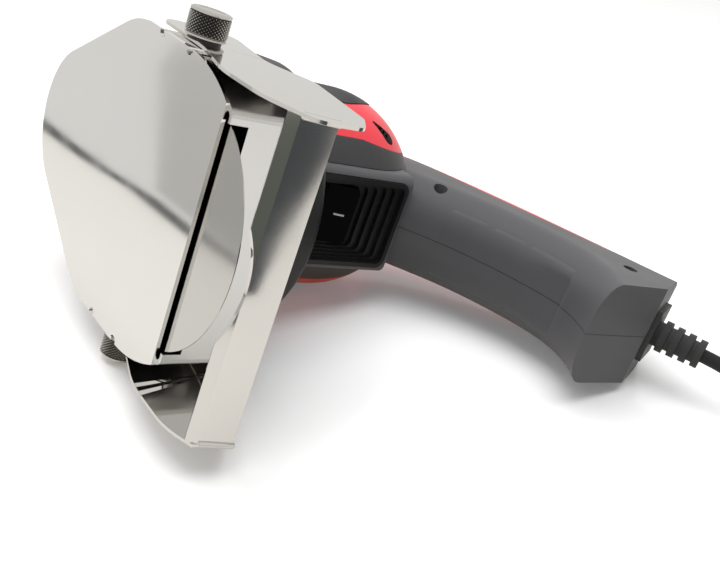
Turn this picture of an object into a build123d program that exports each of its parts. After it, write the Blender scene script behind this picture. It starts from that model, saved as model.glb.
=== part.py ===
from build123d import *
from math import acos, asin, cos, degrees, hypot, pi, radians, sin, sqrt, tan
import os

# An electric kebab slicer. It is modelled about its blade: X runs from the blade's axis to the side
# where the blade shows, Y runs rearwards from the cover's front face, and Z is the height over the
# plane that parts the plastic shells. Last of all the whole tool is laid on its side on a table.

# Sheet metal, clearances and cuts
sheet = 1.5
running_gap = 0.3
bearing_gap = 0.05
overrun = 5.0

# Outline of the head, seen from the front
head_half_height = 60.7
nose_centre = -97.0
nose_radius = 34.0
nose_slope = 29.2
flank_corner_radius = 42.0
shoulder_start = -13.0
cover_chord = 20.7
cover_chord_half = 51.4
relief_radius = 2.6

# Cutting disc and what holds it
blade_radius = 50.0
blade_thickness = 2.5
blade_front = 2.8
blade_bevel = 5.5
blade_edge = 0.4
blade_screw_radius = 2.5
blade_screw_head = 6.0
blade_screw_length = 18.0
flange_radius = 14.0
flange_thickness = 2.5
flange_hub_radius = 7.5
flange_hub_depth = 6.0
spindle_radius = 4.0

# Pan behind the cover
pan_depth = 32.0
pan_inset = 1.5
pan_chord = 24.0
pan_chord_half = 49.5
pan_corner = 3.5
pan_bend = 1.5
notch_depth = 9.1
notch_half = 45.2

# Thumb screws and the path they travel
stud_place = -24.0
stud_depth = 11.0
stud_radius = 2.5
stud_play = 0.3
guide_travel = 8.0
tab_width = 23.0
tab_depth = 18.0
washer_radius = 6.5
washer_thickness = 1.2
knob_radius = 8.25
knob_height = 10.5
knob_chamfer = 1.2
knob_grooves = 24
knob_groove_depth = 0.7
clamp_nut_width = 9.0
clamp_nut_height = 4.0

# Thickness guide
ear_thickness = 1.2
strip_thickness = 1.5
strip_front = 55.0
strip_lip_rise = 2.0
strip_lip_depth = 4.0
strip_rear_rise = 5.0
strip_depth = 16.6
relief_half = 20.0
relief_depth = 4.0
bead_radius = 1.3

# Gear train
gear_module = 1.0
spindle_teeth = 28
idler_teeth = 40
pinion_teeth = 12
pressure_angle = 20.0
addendum_share = 0.78
dedendum_share = 1.12
tooth_width_share = 0.46
gear_start = 36.0
gear_width = 7.5
gear_hub_radius = 8.0
gear_hub_overhang = 1.7
lightening_holes = 5
lightening_radius = 3.5
pin_radius = 4.0
bearing_radius = 8.0
bearing_width = 5.0
bearing_start = 20.5
carrier_boss_radius = 11.0
carrier_flange_radius = 22.0
carrier_flange_thickness = 3.0
carrier_screw_ring = 17.0
carrier_screws = 3
screw_radius = 2.0
screw_head_radius = 3.6
screw_head_height = 2.2
plate_start = 45.5
plate_thickness = 5.0
post_radius = 4.0
post_reach = 26.0
front_post_place = -8.0
rear_post_place = -68.0

# Round gear housing
bell_centre = -41.0
bell_front_radius = 60.5
bell_rear_radius = 57.5
bell_rear = 61.0
bell_wall = 2.0
bell_rim_round = 3.0
bell_pillar_angles = (60, 120, 240, 300)

# Motor
motor_radius = 21.0
motor_wall = 1.5
motor_length = 57.5
motor_shaft_radius = 2.5
motor_shaft_overhang = 13.0
pinion_overhang = 1.0
rotor_radius = 14.0
rotor_length = 29.0
rotor_start = 12.0
rotor_slots = 5
rotor_slot_width = 4.0
magnet_gap = 0.6
magnet_half_angle = 62.0
commutator_radius = 5.5
commutator_length = 7.0
commutator_gap = 4.0
end_cap_depth = 4.5
bush_radius = 5.0
bush_length = 4.0
brush_width = 5.0
brush_height = 4.0
brush_length = 9.0
fan_radius = 19.0
fan_hub_radius = 6.0
fan_blades = 9
fan_blade_thickness = 1.2
fan_depth = 7.0
fan_plate = 1.5
motor_screw_spread = 14.0

# Red shells round the motor
shell_radius = 48.5
shell_wall = 2.5
shell_dome_start = 108.0
motor_room = 3.0
pad_inset = 1.2
pad_proud = 0.4
pad_half_width = 15.0
pad_start = 66.0
pad_straight_end = 98.0
pad_tip = 128.0
vent_reach = 26.0
vent_height = 38.5
vent_back = 11.0
vent_run = 9.0
vent_run_back = 14.0
vent_drop = 7.0
vent_length = 14.0
vent_blunt_radius = 3.4
vent_tip_radius = 0.6
vent_slots = 3
vent_slot_width = 1.2

# Handle: it leans rearwards, and its sections stand square to its length
handle_lean = 23.2
grip_half_width = 24.0
butt_length = 160.0
spine_height = 168.0
spine_end = 128.0
root_half_width = 25.0
root_face = -14.0
root_back = -36.0
root_seam = -52.0
root_end = 131.0
root_corner = 5.0
butt_front_start = 140.0
butt_front_low = 106.0
butt_front_high = 145.0
butt_back_start = 147.0
butt_back_low = 186.0
butt_back_high = 176.0
finger_hollows = 3
finger_first = 66.0
finger_pitch = 22.0
finger_hollow_radius = 15.0
finger_hollow_depth = 1.1
finger_front_share = 0.803
boss_hole_radius = 3.4
boss_wall = 1.6
boss_floor = 6.0
root_boss_place = 46.0
root_boss_height = 141.0
butt_boss_place = 141.0
butt_boss_height = 150.5

# Switch in the root of the handle
switch_start = 68.0
switch_end = 129.0
switch_half_width = 21.5
switch_corner = 5.0
switch_ridge = 2.2
switch_ridge_proud = 0.8
switch_steps = 6
switch_step_depth = 2.0
switch_step_rear = 3.6
switch_step_front = 1.0
switch_step_side = 1.0
switch_floor = 5.5
rocker_play = 0.4
rocker_rise = 4.2
rocker_dip = 2.0
rocker_drop = 2.0
rocker_tilt = 8.0
rocker_pin_radius = 1.5
rocker_pin_length = 1.2
rocker_mark_width = 1.0
rocker_mark_length = 6.0
switch_body_depth = 6.0
switch_tab_length = 6.0
switch_tab_width = 4.8
switch_tab_thickness = 0.8

# Board, terminal block and lead clamp inside the handle
board_place = 70.0
board_height = 158.0
board_length = 34.0
board_width = 26.0
board_thickness = 1.6
board_drop = 8.0
capacitor_radius = 5.0
capacitor_length = 12.0
rectifier_size = 9.0
rectifier_thickness = 4.0
stand_radius = 3.0
terminal_place = 106.0
terminal_length = 18.0
terminal_width = 14.0
terminal_height = 10.0
clamp_place = 128.0
clamp_length = 8.0
clamp_width = 24.0
clamp_height = 6.5
clamp_screw_spread = 8.0

# Strain relief and mains lead
lead_radius = 3.25
relief_height = 160.0
relief_flange = 25.0
relief_flange_thickness = 2.5
relief_corner = 2.0
relief_length = 22.0
relief_root_radius = 7.5
relief_tip_radius = 6.3
relief_rings = 4
relief_groove_depth = 1.6
relief_groove_width = 2.4
relief_neck_radius = 6.5

# Route of the lead outside the tool, and the coil that puts the rest of it away
lead_first_run = 20.0
bend_share = 0.45
coil_radius = 39.0
coil_pitch = 7.1
coil_layer_rise = 7.6
coil_quarters_each_way = 13
coil_climb_quarters = 2
coil_samples = 1600
knot_share = 0.001
tail_straight = 6.0
tail_run = 38.0
tail_aside = 12.0

# Plug
plug_width = 35.3
plug_thickness = 13.7
plug_face_length = 14.0
plug_taper_length = 23.0
plug_neck_width = 14.0
plug_neck_thickness = 11.0
plug_round_share = 0.42
plug_sleeve_radius = 4.8
plug_sleeve_length = 13.0
plug_sleeve_rings = 4
plug_groove_depth = 0.9
plug_groove_width = 1.2
plug_pin_radius = 2.0
plug_pin_length = 19.0
plug_pin_spread = 18.6
plug_pin_round_share = 0.6

# How the tool lies on the table
lying_pitch = -14.31
lying_roll = -0.54

# Shares of the ear's outline: along it of the strip's distance, in depth of the strip's own depth
ear_outline_shares = [
    (-1.07, 0.48, 0.18),
    (-0.27, 0.36, 1.10),
    (0.33, -0.24, 1.00),
    (0.84, -0.24, 0.60),
    (1.20, 0.30, 0.14),
    (1.18, 1.45, 0.11),
    (0.95, 1.99, 0.22),
    (0.13, 2.55, 0.20),
    (-0.20, 1.90, 0.30),
    (-1.00, 2.40, 0.20),
]

# Handle sections, as shares of its length and of the spine's height: place, front and back
grip_section_shares = [
    (-0.10, 0.640, 0.990),
    (0.000, 0.690, 1.055),
    (0.090, 0.718, 1.085),
    (0.206, 0.750, 1.104),
    (0.375, 0.795, 1.113),
    (0.531, 0.807, 1.113),
    (0.675, 0.795, 1.107),
    (0.781, 0.756, 1.101),
    (0.875, 0.660, 1.096),
    (1.000, 0.600, 1.090),
]
grip_round_share = 0.75

# Places worked out from the sizes
flank_half = head_half_height - pan_inset - running_gap
blade_back = blade_front + blade_thickness
flange_back = blade_back + flange_thickness
pan_back_wall = pan_depth - sheet
ear_inner = head_half_height + running_gap
ear_outer = ear_inner + ear_thickness
washer_outer = ear_outer + washer_thickness
idler_place = -gear_module * (spindle_teeth + idler_teeth) / 2
motor_place = idler_place - gear_module * (idler_teeth + pinion_teeth) / 2
gear_end = gear_start + gear_width
plate_end = plate_start + plate_thickness
motor_end = plate_end + motor_length
shell_front = bell_rear


def across(depth):
    """Plane square to the blade's axis, at a depth behind the cover's front face."""
    return Plane.XZ.offset(-depth)


def across_at(place, depth):
    """The same plane with its origin on the line at a place."""
    return Plane(origin=(place, depth, 0), x_dir=(1, 0, 0), z_dir=(0, -1, 0))


def handle_point(along, height):
    """Point of the plane of symmetry, along the handle and at a height over its reference line."""
    lean = radians(handle_lean)
    return (along * cos(lean) - height * sin(lean), along * sin(lean) + height * cos(lean), 0)


def handle_plane(along, height=0):
    """Plane square to the handle: its first axis runs to the spine, its second one upwards."""
    lean = radians(handle_lean)
    return Plane(
        origin=handle_point(along, height),
        x_dir=(-sin(lean), cos(lean), 0),
        z_dir=(cos(lean), sin(lean), 0),
    )


def side_plane(height):
    """Plane beside the handle: its first axis runs along the handle, its second one to the spine."""
    lean = radians(handle_lean)
    return Plane(origin=(0, 0, height), x_dir=(cos(lean), sin(lean), 0), z_dir=(0, 0, 1))


def axis_at(place):
    """Line square to the blade, at a place on the plane of symmetry."""
    return Axis((place, 0, 0), (0, 1, 0))


def turned_profile(place, outline):
    """Half section of a turned piece about the line at a place, from points of radius and depth."""
    with BuildSketch() as section:
        with BuildLine():
            Polyline([(place + radius, depth) for radius, depth in outline], close=True)
        make_face()
    return section.sketch


def head_outline(inset, chord, chord_half):
    """Outline of the head from the front: chord, shoulders, flanks, slopes and round nose."""
    slope = radians(nose_slope)
    flank = head_half_height - inset
    nose = nose_radius - inset
    bend = flank_corner_radius - inset
    nose_join = (nose_centre - nose * sin(slope), nose * cos(slope))
    corner = nose_join[0] + (flank - nose_join[1]) / tan(slope)
    reach = bend * tan(slope / 2)
    bend_start = (corner + reach, flank)
    bend_end = (corner - reach * cos(slope), flank - reach * sin(slope))
    with BuildSketch() as outline:
        with BuildLine():
            Line((chord, 0), (chord, chord_half))
            TangentArc((shoulder_start, flank), (chord, chord_half), tangent=(1, 0))
            Line((shoulder_start, flank), bend_start)
            TangentArc(bend_start, bend_end, tangent=(-1, 0))
            Line(bend_end, nose_join)
            TangentArc(nose_join, (nose_centre - nose, 0), tangent=(-cos(slope), -sin(slope)))
            mirror(about=Plane.XZ)
        make_face()
    return outline.sketch


# Front cover: one polished sheet with two slotted tabs bent rearwards round the studs
with BuildPart() as front_cover:
    with BuildSketch(across(0)):
        add(head_outline(0, cover_chord, cover_chord_half))
        with Locations(
            *[
                (stud_place + side * tab_width / 2, up * head_half_height)
                for side in (-1, 1)
                for up in (-1, 1)
            ]
        ):
            Circle(relief_radius, mode=Mode.SUBTRACT)
    extrude(amount=-sheet)
    with BuildSketch(Plane.YZ.offset(stud_place - (tab_width - relief_radius) / 2)):
        for up in (-1, 1):
            with Locations((tab_depth / 2, up * (head_half_height - sheet / 2))):
                Rectangle(tab_depth, sheet)
    extrude(amount=tab_width - relief_radius)
    with BuildSketch(Plane.XY.offset(-head_half_height - overrun)):
        with Locations((stud_place, stud_depth)):
            Circle(stud_radius + stud_play)
        with Locations((stud_place, (stud_depth + tab_depth + overrun) / 2)):
            Rectangle(2 * (stud_radius + stud_play), tab_depth + overrun - stud_depth)
    extrude(amount=2 * (head_half_height + overrun), mode=Mode.SUBTRACT)

# Cutting disc: flat in front, ground to its edge from behind, countersunk at the centre
with BuildPart() as blade:
    with BuildSketch(Plane.XY):
        add(
            turned_profile(
                0,
                [
                    (blade_screw_head + bearing_gap, blade_front),
                    (blade_radius, blade_front),
                    (blade_radius, blade_front + blade_edge),
                    (blade_radius - blade_bevel, blade_back),
                    (blade_screw_head + bearing_gap - blade_thickness, blade_back),
                ],
            )
        )
    revolve(axis=axis_at(0))

with BuildPart() as blade_screw:
    with BuildSketch(Plane.XY):
        add(
            turned_profile(
                0,
                [
                    (0, blade_front),
                    (blade_screw_head, blade_front),
                    (blade_screw_head - blade_thickness, blade_back),
                    (blade_screw_radius, blade_back),
                    (blade_screw_radius, blade_back + blade_screw_length),
                    (0, blade_back + blade_screw_length),
                ],
            )
        )
    revolve(axis=axis_at(0))
    with BuildSketch(across(blade_front)):
        Rectangle(blade_screw_head, blade_screw_radius / 2)
        Rectangle(blade_screw_radius / 2, blade_screw_head)
    extrude(amount=-blade_thickness / 2, mode=Mode.SUBTRACT)

with BuildPart() as blade_flange:
    with BuildSketch(Plane.XY):
        add(
            turned_profile(
                0,
                [
                    (spindle_radius + bearing_gap, blade_back),
                    (flange_radius, blade_back),
                    (flange_radius, flange_back),
                    (flange_hub_radius, flange_back),
                    (flange_hub_radius, flange_back + flange_hub_depth),
                    (spindle_radius + bearing_gap, flange_back + flange_hub_depth),
                ],
            )
        )
    revolve(axis=axis_at(0))

with BuildPart() as spindle:
    with BuildSketch(Plane.XY):
        add(
            turned_profile(
                0,
                [
                    (blade_screw_radius + bearing_gap, blade_back),
                    (spindle_radius, blade_back),
                    (spindle_radius, plate_end + sheet),
                    (0, plate_end + sheet),
                    (0, blade_back + blade_screw_length + sheet),
                    (blade_screw_radius + bearing_gap, blade_back + blade_screw_length + sheet),
                ],
            )
        )
    revolve(axis=axis_at(0))

# Pan: a tray of sheet metal, notched where the blade comes out and slotted for the studs
with BuildPart() as blade_housing:
    with BuildSketch(across(sheet)):
        add(head_outline(pan_inset + running_gap, pan_chord, pan_chord_half))
        chord_corners = vertices().group_by(Axis.X)[-1]
        fillet(chord_corners, pan_corner)
    extrude(amount=sheet - pan_depth)
    fillet(faces().sort_by(Axis.Y)[-1].edges(), pan_bend + sheet / 2)
    with BuildSketch(across(sheet)):
        add(head_outline(pan_inset + running_gap + sheet, pan_chord - sheet, pan_chord_half - sheet))
        inner_corners = vertices().group_by(Axis.X)[-1]
        fillet(inner_corners, pan_corner - sheet)
    extrude(amount=sheet - pan_back_wall, mode=Mode.SUBTRACT)
    with BuildSketch(Plane.YZ.offset(pan_chord - sheet - overrun)):
        with Locations((notch_depth / 2, 0)):
            Rectangle(notch_depth, 2 * notch_half)
    extrude(amount=sheet + 2 * overrun, mode=Mode.SUBTRACT)
    with BuildSketch(Plane.XY.offset(-head_half_height)):
        with Locations((stud_place, stud_depth + guide_travel / 2)):
            SlotCenterToCenter(guide_travel, 2 * (stud_radius + stud_play), rotation=90)
    extrude(amount=2 * head_half_height, mode=Mode.SUBTRACT)
    with BuildSketch(across(pan_back_wall - overrun)):
        Circle(carrier_boss_radius + running_gap)
        with PolarLocations(carrier_screw_ring, carrier_screws, start_angle=60):
            Circle(screw_radius + bearing_gap)
    extrude(amount=-sheet - 2 * overrun, mode=Mode.SUBTRACT)

# Bearing carrier: flange in front of the pan's wall and a boss that reaches through it
with BuildPart() as bearing_carrier:
    with BuildSketch(Plane.XY):
        add(
            turned_profile(
                0,
                [
                    (bearing_radius + bearing_gap, bearing_start),
                    (carrier_boss_radius, bearing_start),
                    (carrier_boss_radius, pan_back_wall - carrier_flange_thickness),
                    (carrier_flange_radius, pan_back_wall - carrier_flange_thickness),
                    (carrier_flange_radius, pan_back_wall),
                    (carrier_boss_radius, pan_back_wall),
                    (carrier_boss_radius, pan_depth + sheet),
                    (spindle_radius + screw_radius, pan_depth + sheet),
                    (spindle_radius + screw_radius, bearing_start + bearing_width),
                    (bearing_radius + bearing_gap, bearing_start + bearing_width),
                ],
            )
        )
    revolve(axis=axis_at(0))
    with BuildSketch(across(pan_back_wall - carrier_flange_thickness - overrun)):
        with PolarLocations(carrier_screw_ring, carrier_screws, start_angle=60):
            Circle(screw_radius + bearing_gap)
    extrude(amount=-carrier_flange_thickness - 2 * overrun, mode=Mode.SUBTRACT)

with BuildPart() as carrier_bolts:
    with BuildSketch(across(pan_back_wall - carrier_flange_thickness - screw_head_height)):
        with PolarLocations(carrier_screw_ring, carrier_screws, start_angle=60):
            Circle(screw_head_radius)
    extrude(amount=-screw_head_height)
    with BuildSketch(across(pan_back_wall - carrier_flange_thickness)):
        with PolarLocations(carrier_screw_ring, carrier_screws, start_angle=60):
            Circle(screw_radius)
    extrude(amount=-2 * sheet - carrier_flange_thickness)

with BuildPart() as spindle_bearings:
    for start in (bearing_start, plate_start):
        with BuildSketch(Plane.XY):
            add(
                turned_profile(
                    0,
                    [
                        (spindle_radius + bearing_gap, start),
                        (bearing_radius, start),
                        (bearing_radius, start + bearing_width),
                        (spindle_radius + bearing_gap, start + bearing_width),
                    ],
                )
            )
        revolve(axis=axis_at(0))


def tooth_half_angle(radius, teeth):
    """Half the angle of an involute tooth at a radius, in radians."""
    pitch = gear_module * teeth / 2
    base = pitch * cos(radians(pressure_angle))
    pressure = acos(min(1, base / max(radius, base)))
    at_pitch = radians(pressure_angle)
    involute = (tan(at_pitch) - at_pitch) - (tan(pressure) - pressure)
    return pi * tooth_width_share / teeth + involute


def gear_outline(teeth, first_tooth, bore):
    """Bored spur gear about the sketch's origin, its first tooth at an angle in degrees."""
    pitch = gear_module * teeth / 2
    base = pitch * cos(radians(pressure_angle))
    root = pitch - gear_module * dedendum_share
    tip = pitch + gear_module * addendum_share
    radii = [root, max(root + gear_module * bearing_gap, base), pitch, tip]
    points = []
    for tooth in range(teeth):
        middle = radians(first_tooth) + 2 * pi * tooth / teeth
        flank = [(radius, tooth_half_angle(radius, teeth)) for radius in radii]
        for radius, half in flank:
            points.append((radius * cos(middle - half), radius * sin(middle - half)))
        for radius, half in reversed(flank):
            points.append((radius * cos(middle + half), radius * sin(middle + half)))
    with BuildSketch() as outline:
        with BuildLine():
            Polyline(points, close=True)
        make_face()
        Circle(bore, mode=Mode.SUBTRACT)
    return outline.sketch


with BuildPart() as spindle_gear:
    with BuildSketch(across_at(0, gear_start)):
        add(gear_outline(spindle_teeth, 0, spindle_radius + bearing_gap))
    extrude(amount=-gear_width)

with BuildPart() as idler_gear:
    with BuildSketch(across_at(idler_place, gear_start)):
        add(gear_outline(idler_teeth, 180 / idler_teeth, pin_radius + bearing_gap))
    extrude(amount=-gear_width)
    hub_start = gear_start - gear_hub_overhang
    hub_end = gear_end + gear_hub_overhang - running_gap
    with BuildSketch(across_at(idler_place, hub_start)):
        Circle(gear_hub_radius)
        Circle(pin_radius + bearing_gap, mode=Mode.SUBTRACT)
    extrude(amount=hub_start - hub_end)
    with BuildSketch(across_at(idler_place, gear_start - overrun)):
        with PolarLocations((gear_hub_radius + gear_module * idler_teeth / 2) / 2, lightening_holes):
            Circle(lightening_radius)
    extrude(amount=-gear_width - 2 * overrun, mode=Mode.SUBTRACT)

with BuildPart() as idler_pin:
    with BuildSketch(Plane.XY):
        add(
            turned_profile(
                idler_place,
                [
                    (0, pan_depth),
                    (gear_hub_radius, pan_depth),
                    (gear_hub_radius, hub_start - running_gap),
                    (pin_radius, hub_start - running_gap),
                    (pin_radius, plate_end),
                    (0, plate_end),
                ],
            )
        )
    revolve(axis=axis_at(idler_place))

with BuildPart() as motor_pinion:
    with BuildSketch(across_at(motor_place, gear_start - pinion_overhang)):
        add(gear_outline(pinion_teeth, 0, motor_shaft_radius + bearing_gap))
    extrude(amount=-gear_width - 2 * pinion_overhang)

# Gear plate: it stands on four posts behind the pan and carries the pin, the spindle and the motor
with BuildPart() as gear_plate:
    post_places = [
        (place, up * post_reach) for place in (front_post_place, rear_post_place) for up in (-1, 1)
    ]
    with BuildSketch(across(plate_start)):
        with Locations(*post_places):
            Circle(post_radius + sheet)
        Circle(carrier_boss_radius + sheet)
        make_hull()
        Circle(bearing_radius + bearing_gap, mode=Mode.SUBTRACT)
        with Locations((idler_place, 0)):
            Circle(pin_radius + bearing_gap, mode=Mode.SUBTRACT)
        with Locations((motor_place, 0)):
            Circle(gear_module * (pinion_teeth / 2 + 1) + running_gap, mode=Mode.SUBTRACT)
            with Locations((0, motor_screw_spread), (0, -motor_screw_spread)):
                Circle(screw_radius + bearing_gap, mode=Mode.SUBTRACT)
    extrude(amount=-plate_thickness)
    with BuildSketch(across(pan_depth)):
        with Locations(*post_places):
            Circle(post_radius)
    extrude(amount=pan_depth - plate_start)

# Round gear housing, open to the pan, with four screw pillars and a hole for the motor
with BuildPart() as gearbox_housing:
    with BuildSketch(Plane.XY):
        add(
            turned_profile(
                bell_centre,
                [
                    (0, bell_rear - bell_wall),
                    (bell_rear_radius - bell_wall, bell_rear - bell_wall),
                    (bell_front_radius - bell_wall, pan_depth),
                    (bell_front_radius, pan_depth),
                    (bell_rear_radius, bell_rear),
                    (0, bell_rear),
                ],
            )
        )
    revolve(axis=axis_at(bell_centre))
    fillet(edges().filter_by(GeomType.CIRCLE).group_by(Axis.Y)[-1].sort_by(SortBy.RADIUS)[-1], bell_rim_round)
    pillar_reach = bell_rear_radius - bell_wall / 2 - post_radius
    pillar_places = [
        (pillar_reach * cos(radians(angle)), pillar_reach * sin(radians(angle))) for angle in bell_pillar_angles
    ]
    with BuildSketch(across(pan_depth)):
        with Locations((bell_centre, 0)):
            with Locations(*pillar_places):
                Circle(post_radius)
    extrude(amount=pan_depth - bell_rear + bell_wall / 2)
    with BuildSketch(across(bell_rear - bell_wall - overrun)):
        with Locations((motor_place, 0)):
            Circle(motor_radius + running_gap)
    extrude(amount=-bell_wall - 2 * overrun, mode=Mode.SUBTRACT)

# Thickness guide: a bent strip welded between two ears that slide along the head's flanks
with BuildPart() as depth_guide:
    lip_top = (strip_front + strip_lip_rise, strip_lip_depth)
    rear_top = (strip_front + strip_rear_rise, strip_depth)
    with BuildSketch(Plane.XY.offset(-ear_inner)):
        with BuildLine() as bent_strip:
            Polyline([(strip_front, 0), lip_top, rear_top])
            offset(amount=strip_thickness, side=Side.RIGHT, kind=Kind.INTERSECTION)
        make_face()
    extrude(amount=2 * ear_inner)
    arch_radius = (relief_half**2 + relief_depth**2) / (2 * relief_depth)
    with BuildSketch(Plane.YZ.offset(strip_front - overrun)):
        with Locations((relief_depth - arch_radius, 0)):
            Circle(arch_radius)
    extrude(amount=strip_rear_rise + strip_thickness + 2 * overrun, mode=Mode.SUBTRACT)
    ear_points = [(strip_front * along, strip_depth * deep) for along, deep, bend in ear_outline_shares]
    ear_bends = [strip_front * bend for along, deep, bend in ear_outline_shares]
    for base in (ear_inner, -ear_outer):
        with BuildSketch(Plane.XY.offset(base)):
            with BuildLine():
                FilletPolyline(*ear_points, radius=ear_bends, close=True)
            make_face()
            with Locations((stud_place, stud_depth)):
                Circle(stud_radius + stud_play, mode=Mode.SUBTRACT)
        extrude(amount=ear_thickness)
    weld_way = Vector(rear_top[0] - lip_top[0], rear_top[1] - lip_top[1], 0)
    for side in (-1, 1):
        weld_start = (lip_top[0] + strip_thickness, lip_top[1], side * ear_inner)
        with BuildSketch(Plane(origin=weld_start, z_dir=weld_way)):
            Circle(bead_radius)
        extrude(amount=weld_way.length)

# Thumb screws: knurled heads on studs that pass the washer, ear, tab and flank to a nut
knob_base = washer_outer
stud_end = flank_half - sheet - clamp_nut_height - running_gap - sheet


def knurled_outline():
    """Round outline with sharp grooves along it, as a knurled head has."""
    step = 2 * pi / knob_grooves
    points = []
    for groove in range(knob_grooves):
        crest = groove * step
        points.append((knob_radius * cos(crest), knob_radius * sin(crest)))
        root = knob_radius - knob_groove_depth
        points.append((root * cos(crest + step / 2), root * sin(crest + step / 2)))
    with BuildSketch() as outline:
        with BuildLine():
            Polyline(points, close=True)
        make_face()
    return outline.sketch


thumb_screws = []
for up in (1, -1):
    with BuildPart() as thumb_screw:
        with BuildSketch(Plane(origin=(stud_place, stud_depth, up * knob_base), z_dir=(0, 0, up))):
            Circle(knob_radius - knob_groove_depth)
        extrude(amount=knob_chamfer)
        with BuildSketch(Plane(origin=(stud_place, stud_depth, up * (knob_base + knob_chamfer)), z_dir=(0, 0, up))):
            add(knurled_outline())
        extrude(amount=knob_height - 2 * knob_chamfer)
        with BuildSketch(
            Plane(origin=(stud_place, stud_depth, up * (knob_base + knob_height - knob_chamfer)), z_dir=(0, 0, up))
        ):
            Circle(knob_radius - knob_groove_depth)
        extrude(amount=knob_chamfer, taper=45)
        with BuildSketch(Plane(origin=(stud_place, stud_depth, up * stud_end), z_dir=(0, 0, up))):
            Circle(stud_radius)
        extrude(amount=knob_base - stud_end)
    thumb_screws.append(thumb_screw)

with BuildPart() as thumb_washers:
    for base in (ear_outer, -washer_outer):
        with BuildSketch(Plane.XY.offset(base)):
            with Locations((stud_place, stud_depth)):
                Circle(washer_radius)
                Circle(stud_radius + stud_play, mode=Mode.SUBTRACT)
        extrude(amount=washer_thickness)

with BuildPart() as clamp_nuts:
    nut_top = flank_half - sheet - running_gap
    for base in (nut_top - clamp_nut_height, -nut_top):
        with BuildSketch(Plane.XY.offset(base)):
            with Locations((stud_place, stud_depth)):
                RegularPolygon(clamp_nut_width / 2, 6, major_radius=False)
                Circle(stud_radius + stud_play, mode=Mode.SUBTRACT)
        extrude(amount=clamp_nut_height)

# Motor: can with two magnets, wound rotor with its commutator, end cap, bushes, brushes and fan
shaft_start = gear_start - pinion_overhang - sheet
rotor_front = plate_end + rotor_start
rotor_rear = rotor_front + rotor_length
commutator_front = rotor_rear + commutator_gap
cap_front = motor_end - end_cap_depth
can_inner = motor_radius - motor_wall
shaft_bore = motor_shaft_radius + bearing_gap
bush_bore = bush_radius + bearing_gap

with BuildPart() as motor_can:
    with BuildSketch(Plane.XY):
        add(
            turned_profile(
                motor_place,
                [
                    (bush_bore, plate_end),
                    (motor_radius, plate_end),
                    (motor_radius, motor_end),
                    (can_inner, motor_end),
                    (can_inner, plate_end + motor_wall),
                    (bush_bore + motor_wall, plate_end + motor_wall),
                    (bush_bore + motor_wall, plate_end + bush_length),
                    (bush_bore, plate_end + bush_length),
                ],
            )
        )
    revolve(axis=axis_at(motor_place))
    with BuildSketch(across_at(motor_place, plate_end - overrun)):
        with Locations((0, motor_screw_spread), (0, -motor_screw_spread)):
            Circle(screw_radius + bearing_gap)
    extrude(amount=-motor_wall - 2 * overrun, mode=Mode.SUBTRACT)

with BuildPart() as motor_magnets:
    magnet_inner = rotor_radius + magnet_gap
    magnet_outer = can_inner - bearing_gap
    reach = radians(magnet_half_angle)
    with BuildSketch(across_at(motor_place, rotor_front)):
        with BuildLine():
            for radius in (magnet_inner, magnet_outer):
                ends = [(radius * sin(side * reach), radius * cos(reach)) for side in (-1, 1)]
                ThreePointArc(ends[0], (0, radius), ends[1])
            for side in (-1, 1):
                Line(
                    (magnet_inner * sin(side * reach), magnet_inner * cos(reach)),
                    (magnet_outer * sin(side * reach), magnet_outer * cos(reach)),
                )
        make_face()
        mirror(about=Plane.XZ)
    extrude(amount=-rotor_length)

with BuildPart() as motor_rotor:
    with BuildSketch(Plane.XY):
        add(
            turned_profile(
                motor_place,
                [
                    (0, shaft_start),
                    (motor_shaft_radius, shaft_start),
                    (motor_shaft_radius, rotor_front),
                    (rotor_radius, rotor_front),
                    (rotor_radius, rotor_rear),
                    (motor_shaft_radius, rotor_rear),
                    (motor_shaft_radius, commutator_front),
                    (commutator_radius, commutator_front),
                    (commutator_radius, commutator_front + commutator_length),
                    (motor_shaft_radius, commutator_front + commutator_length),
                    (motor_shaft_radius, motor_end + motor_shaft_overhang),
                    (0, motor_end + motor_shaft_overhang),
                ],
            )
        )
    revolve(axis=axis_at(motor_place))
    with BuildSketch(across_at(motor_place, rotor_front)):
        with PolarLocations(rotor_radius - rotor_slot_width / 2, rotor_slots):
            Rectangle(rotor_slot_width + overrun, rotor_slot_width / 2)
            Circle(rotor_slot_width / 2)
    extrude(amount=-rotor_length, mode=Mode.SUBTRACT)

with BuildPart() as motor_end_cap:
    with BuildSketch(Plane.XY):
        add(
            turned_profile(
                motor_place,
                [
                    (bush_bore, cap_front),
                    (can_inner - bearing_gap, cap_front),
                    (can_inner - bearing_gap, motor_end),
                    (bush_bore, motor_end),
                ],
            )
        )
    revolve(axis=axis_at(motor_place))
    brush_place = commutator_radius + running_gap
    holder_depth = commutator_length
    with BuildSketch(across_at(motor_place, cap_front)):
        for up in (-1, 1):
            with Locations((0, up * (brush_place + sheet + brush_length / 2))):
                Rectangle(brush_width + 2 * sheet, brush_length)
                Rectangle(brush_width + 2 * bearing_gap, brush_length, mode=Mode.SUBTRACT)
    extrude(amount=holder_depth)

with BuildPart() as carbon_brushes:
    with BuildSketch(across_at(motor_place, cap_front - sheet)):
        for up in (-1, 1):
            with Locations((0, up * (brush_place + brush_length / 2))):
                Rectangle(brush_width, brush_length)
    extrude(amount=brush_height)

with BuildPart() as motor_bushes:
    for start in (plate_end, motor_end - bush_length):
        with BuildSketch(across_at(motor_place, start)):
            Circle(bush_radius)
            Circle(shaft_bore, mode=Mode.SUBTRACT)
        extrude(amount=-bush_length)

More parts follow.
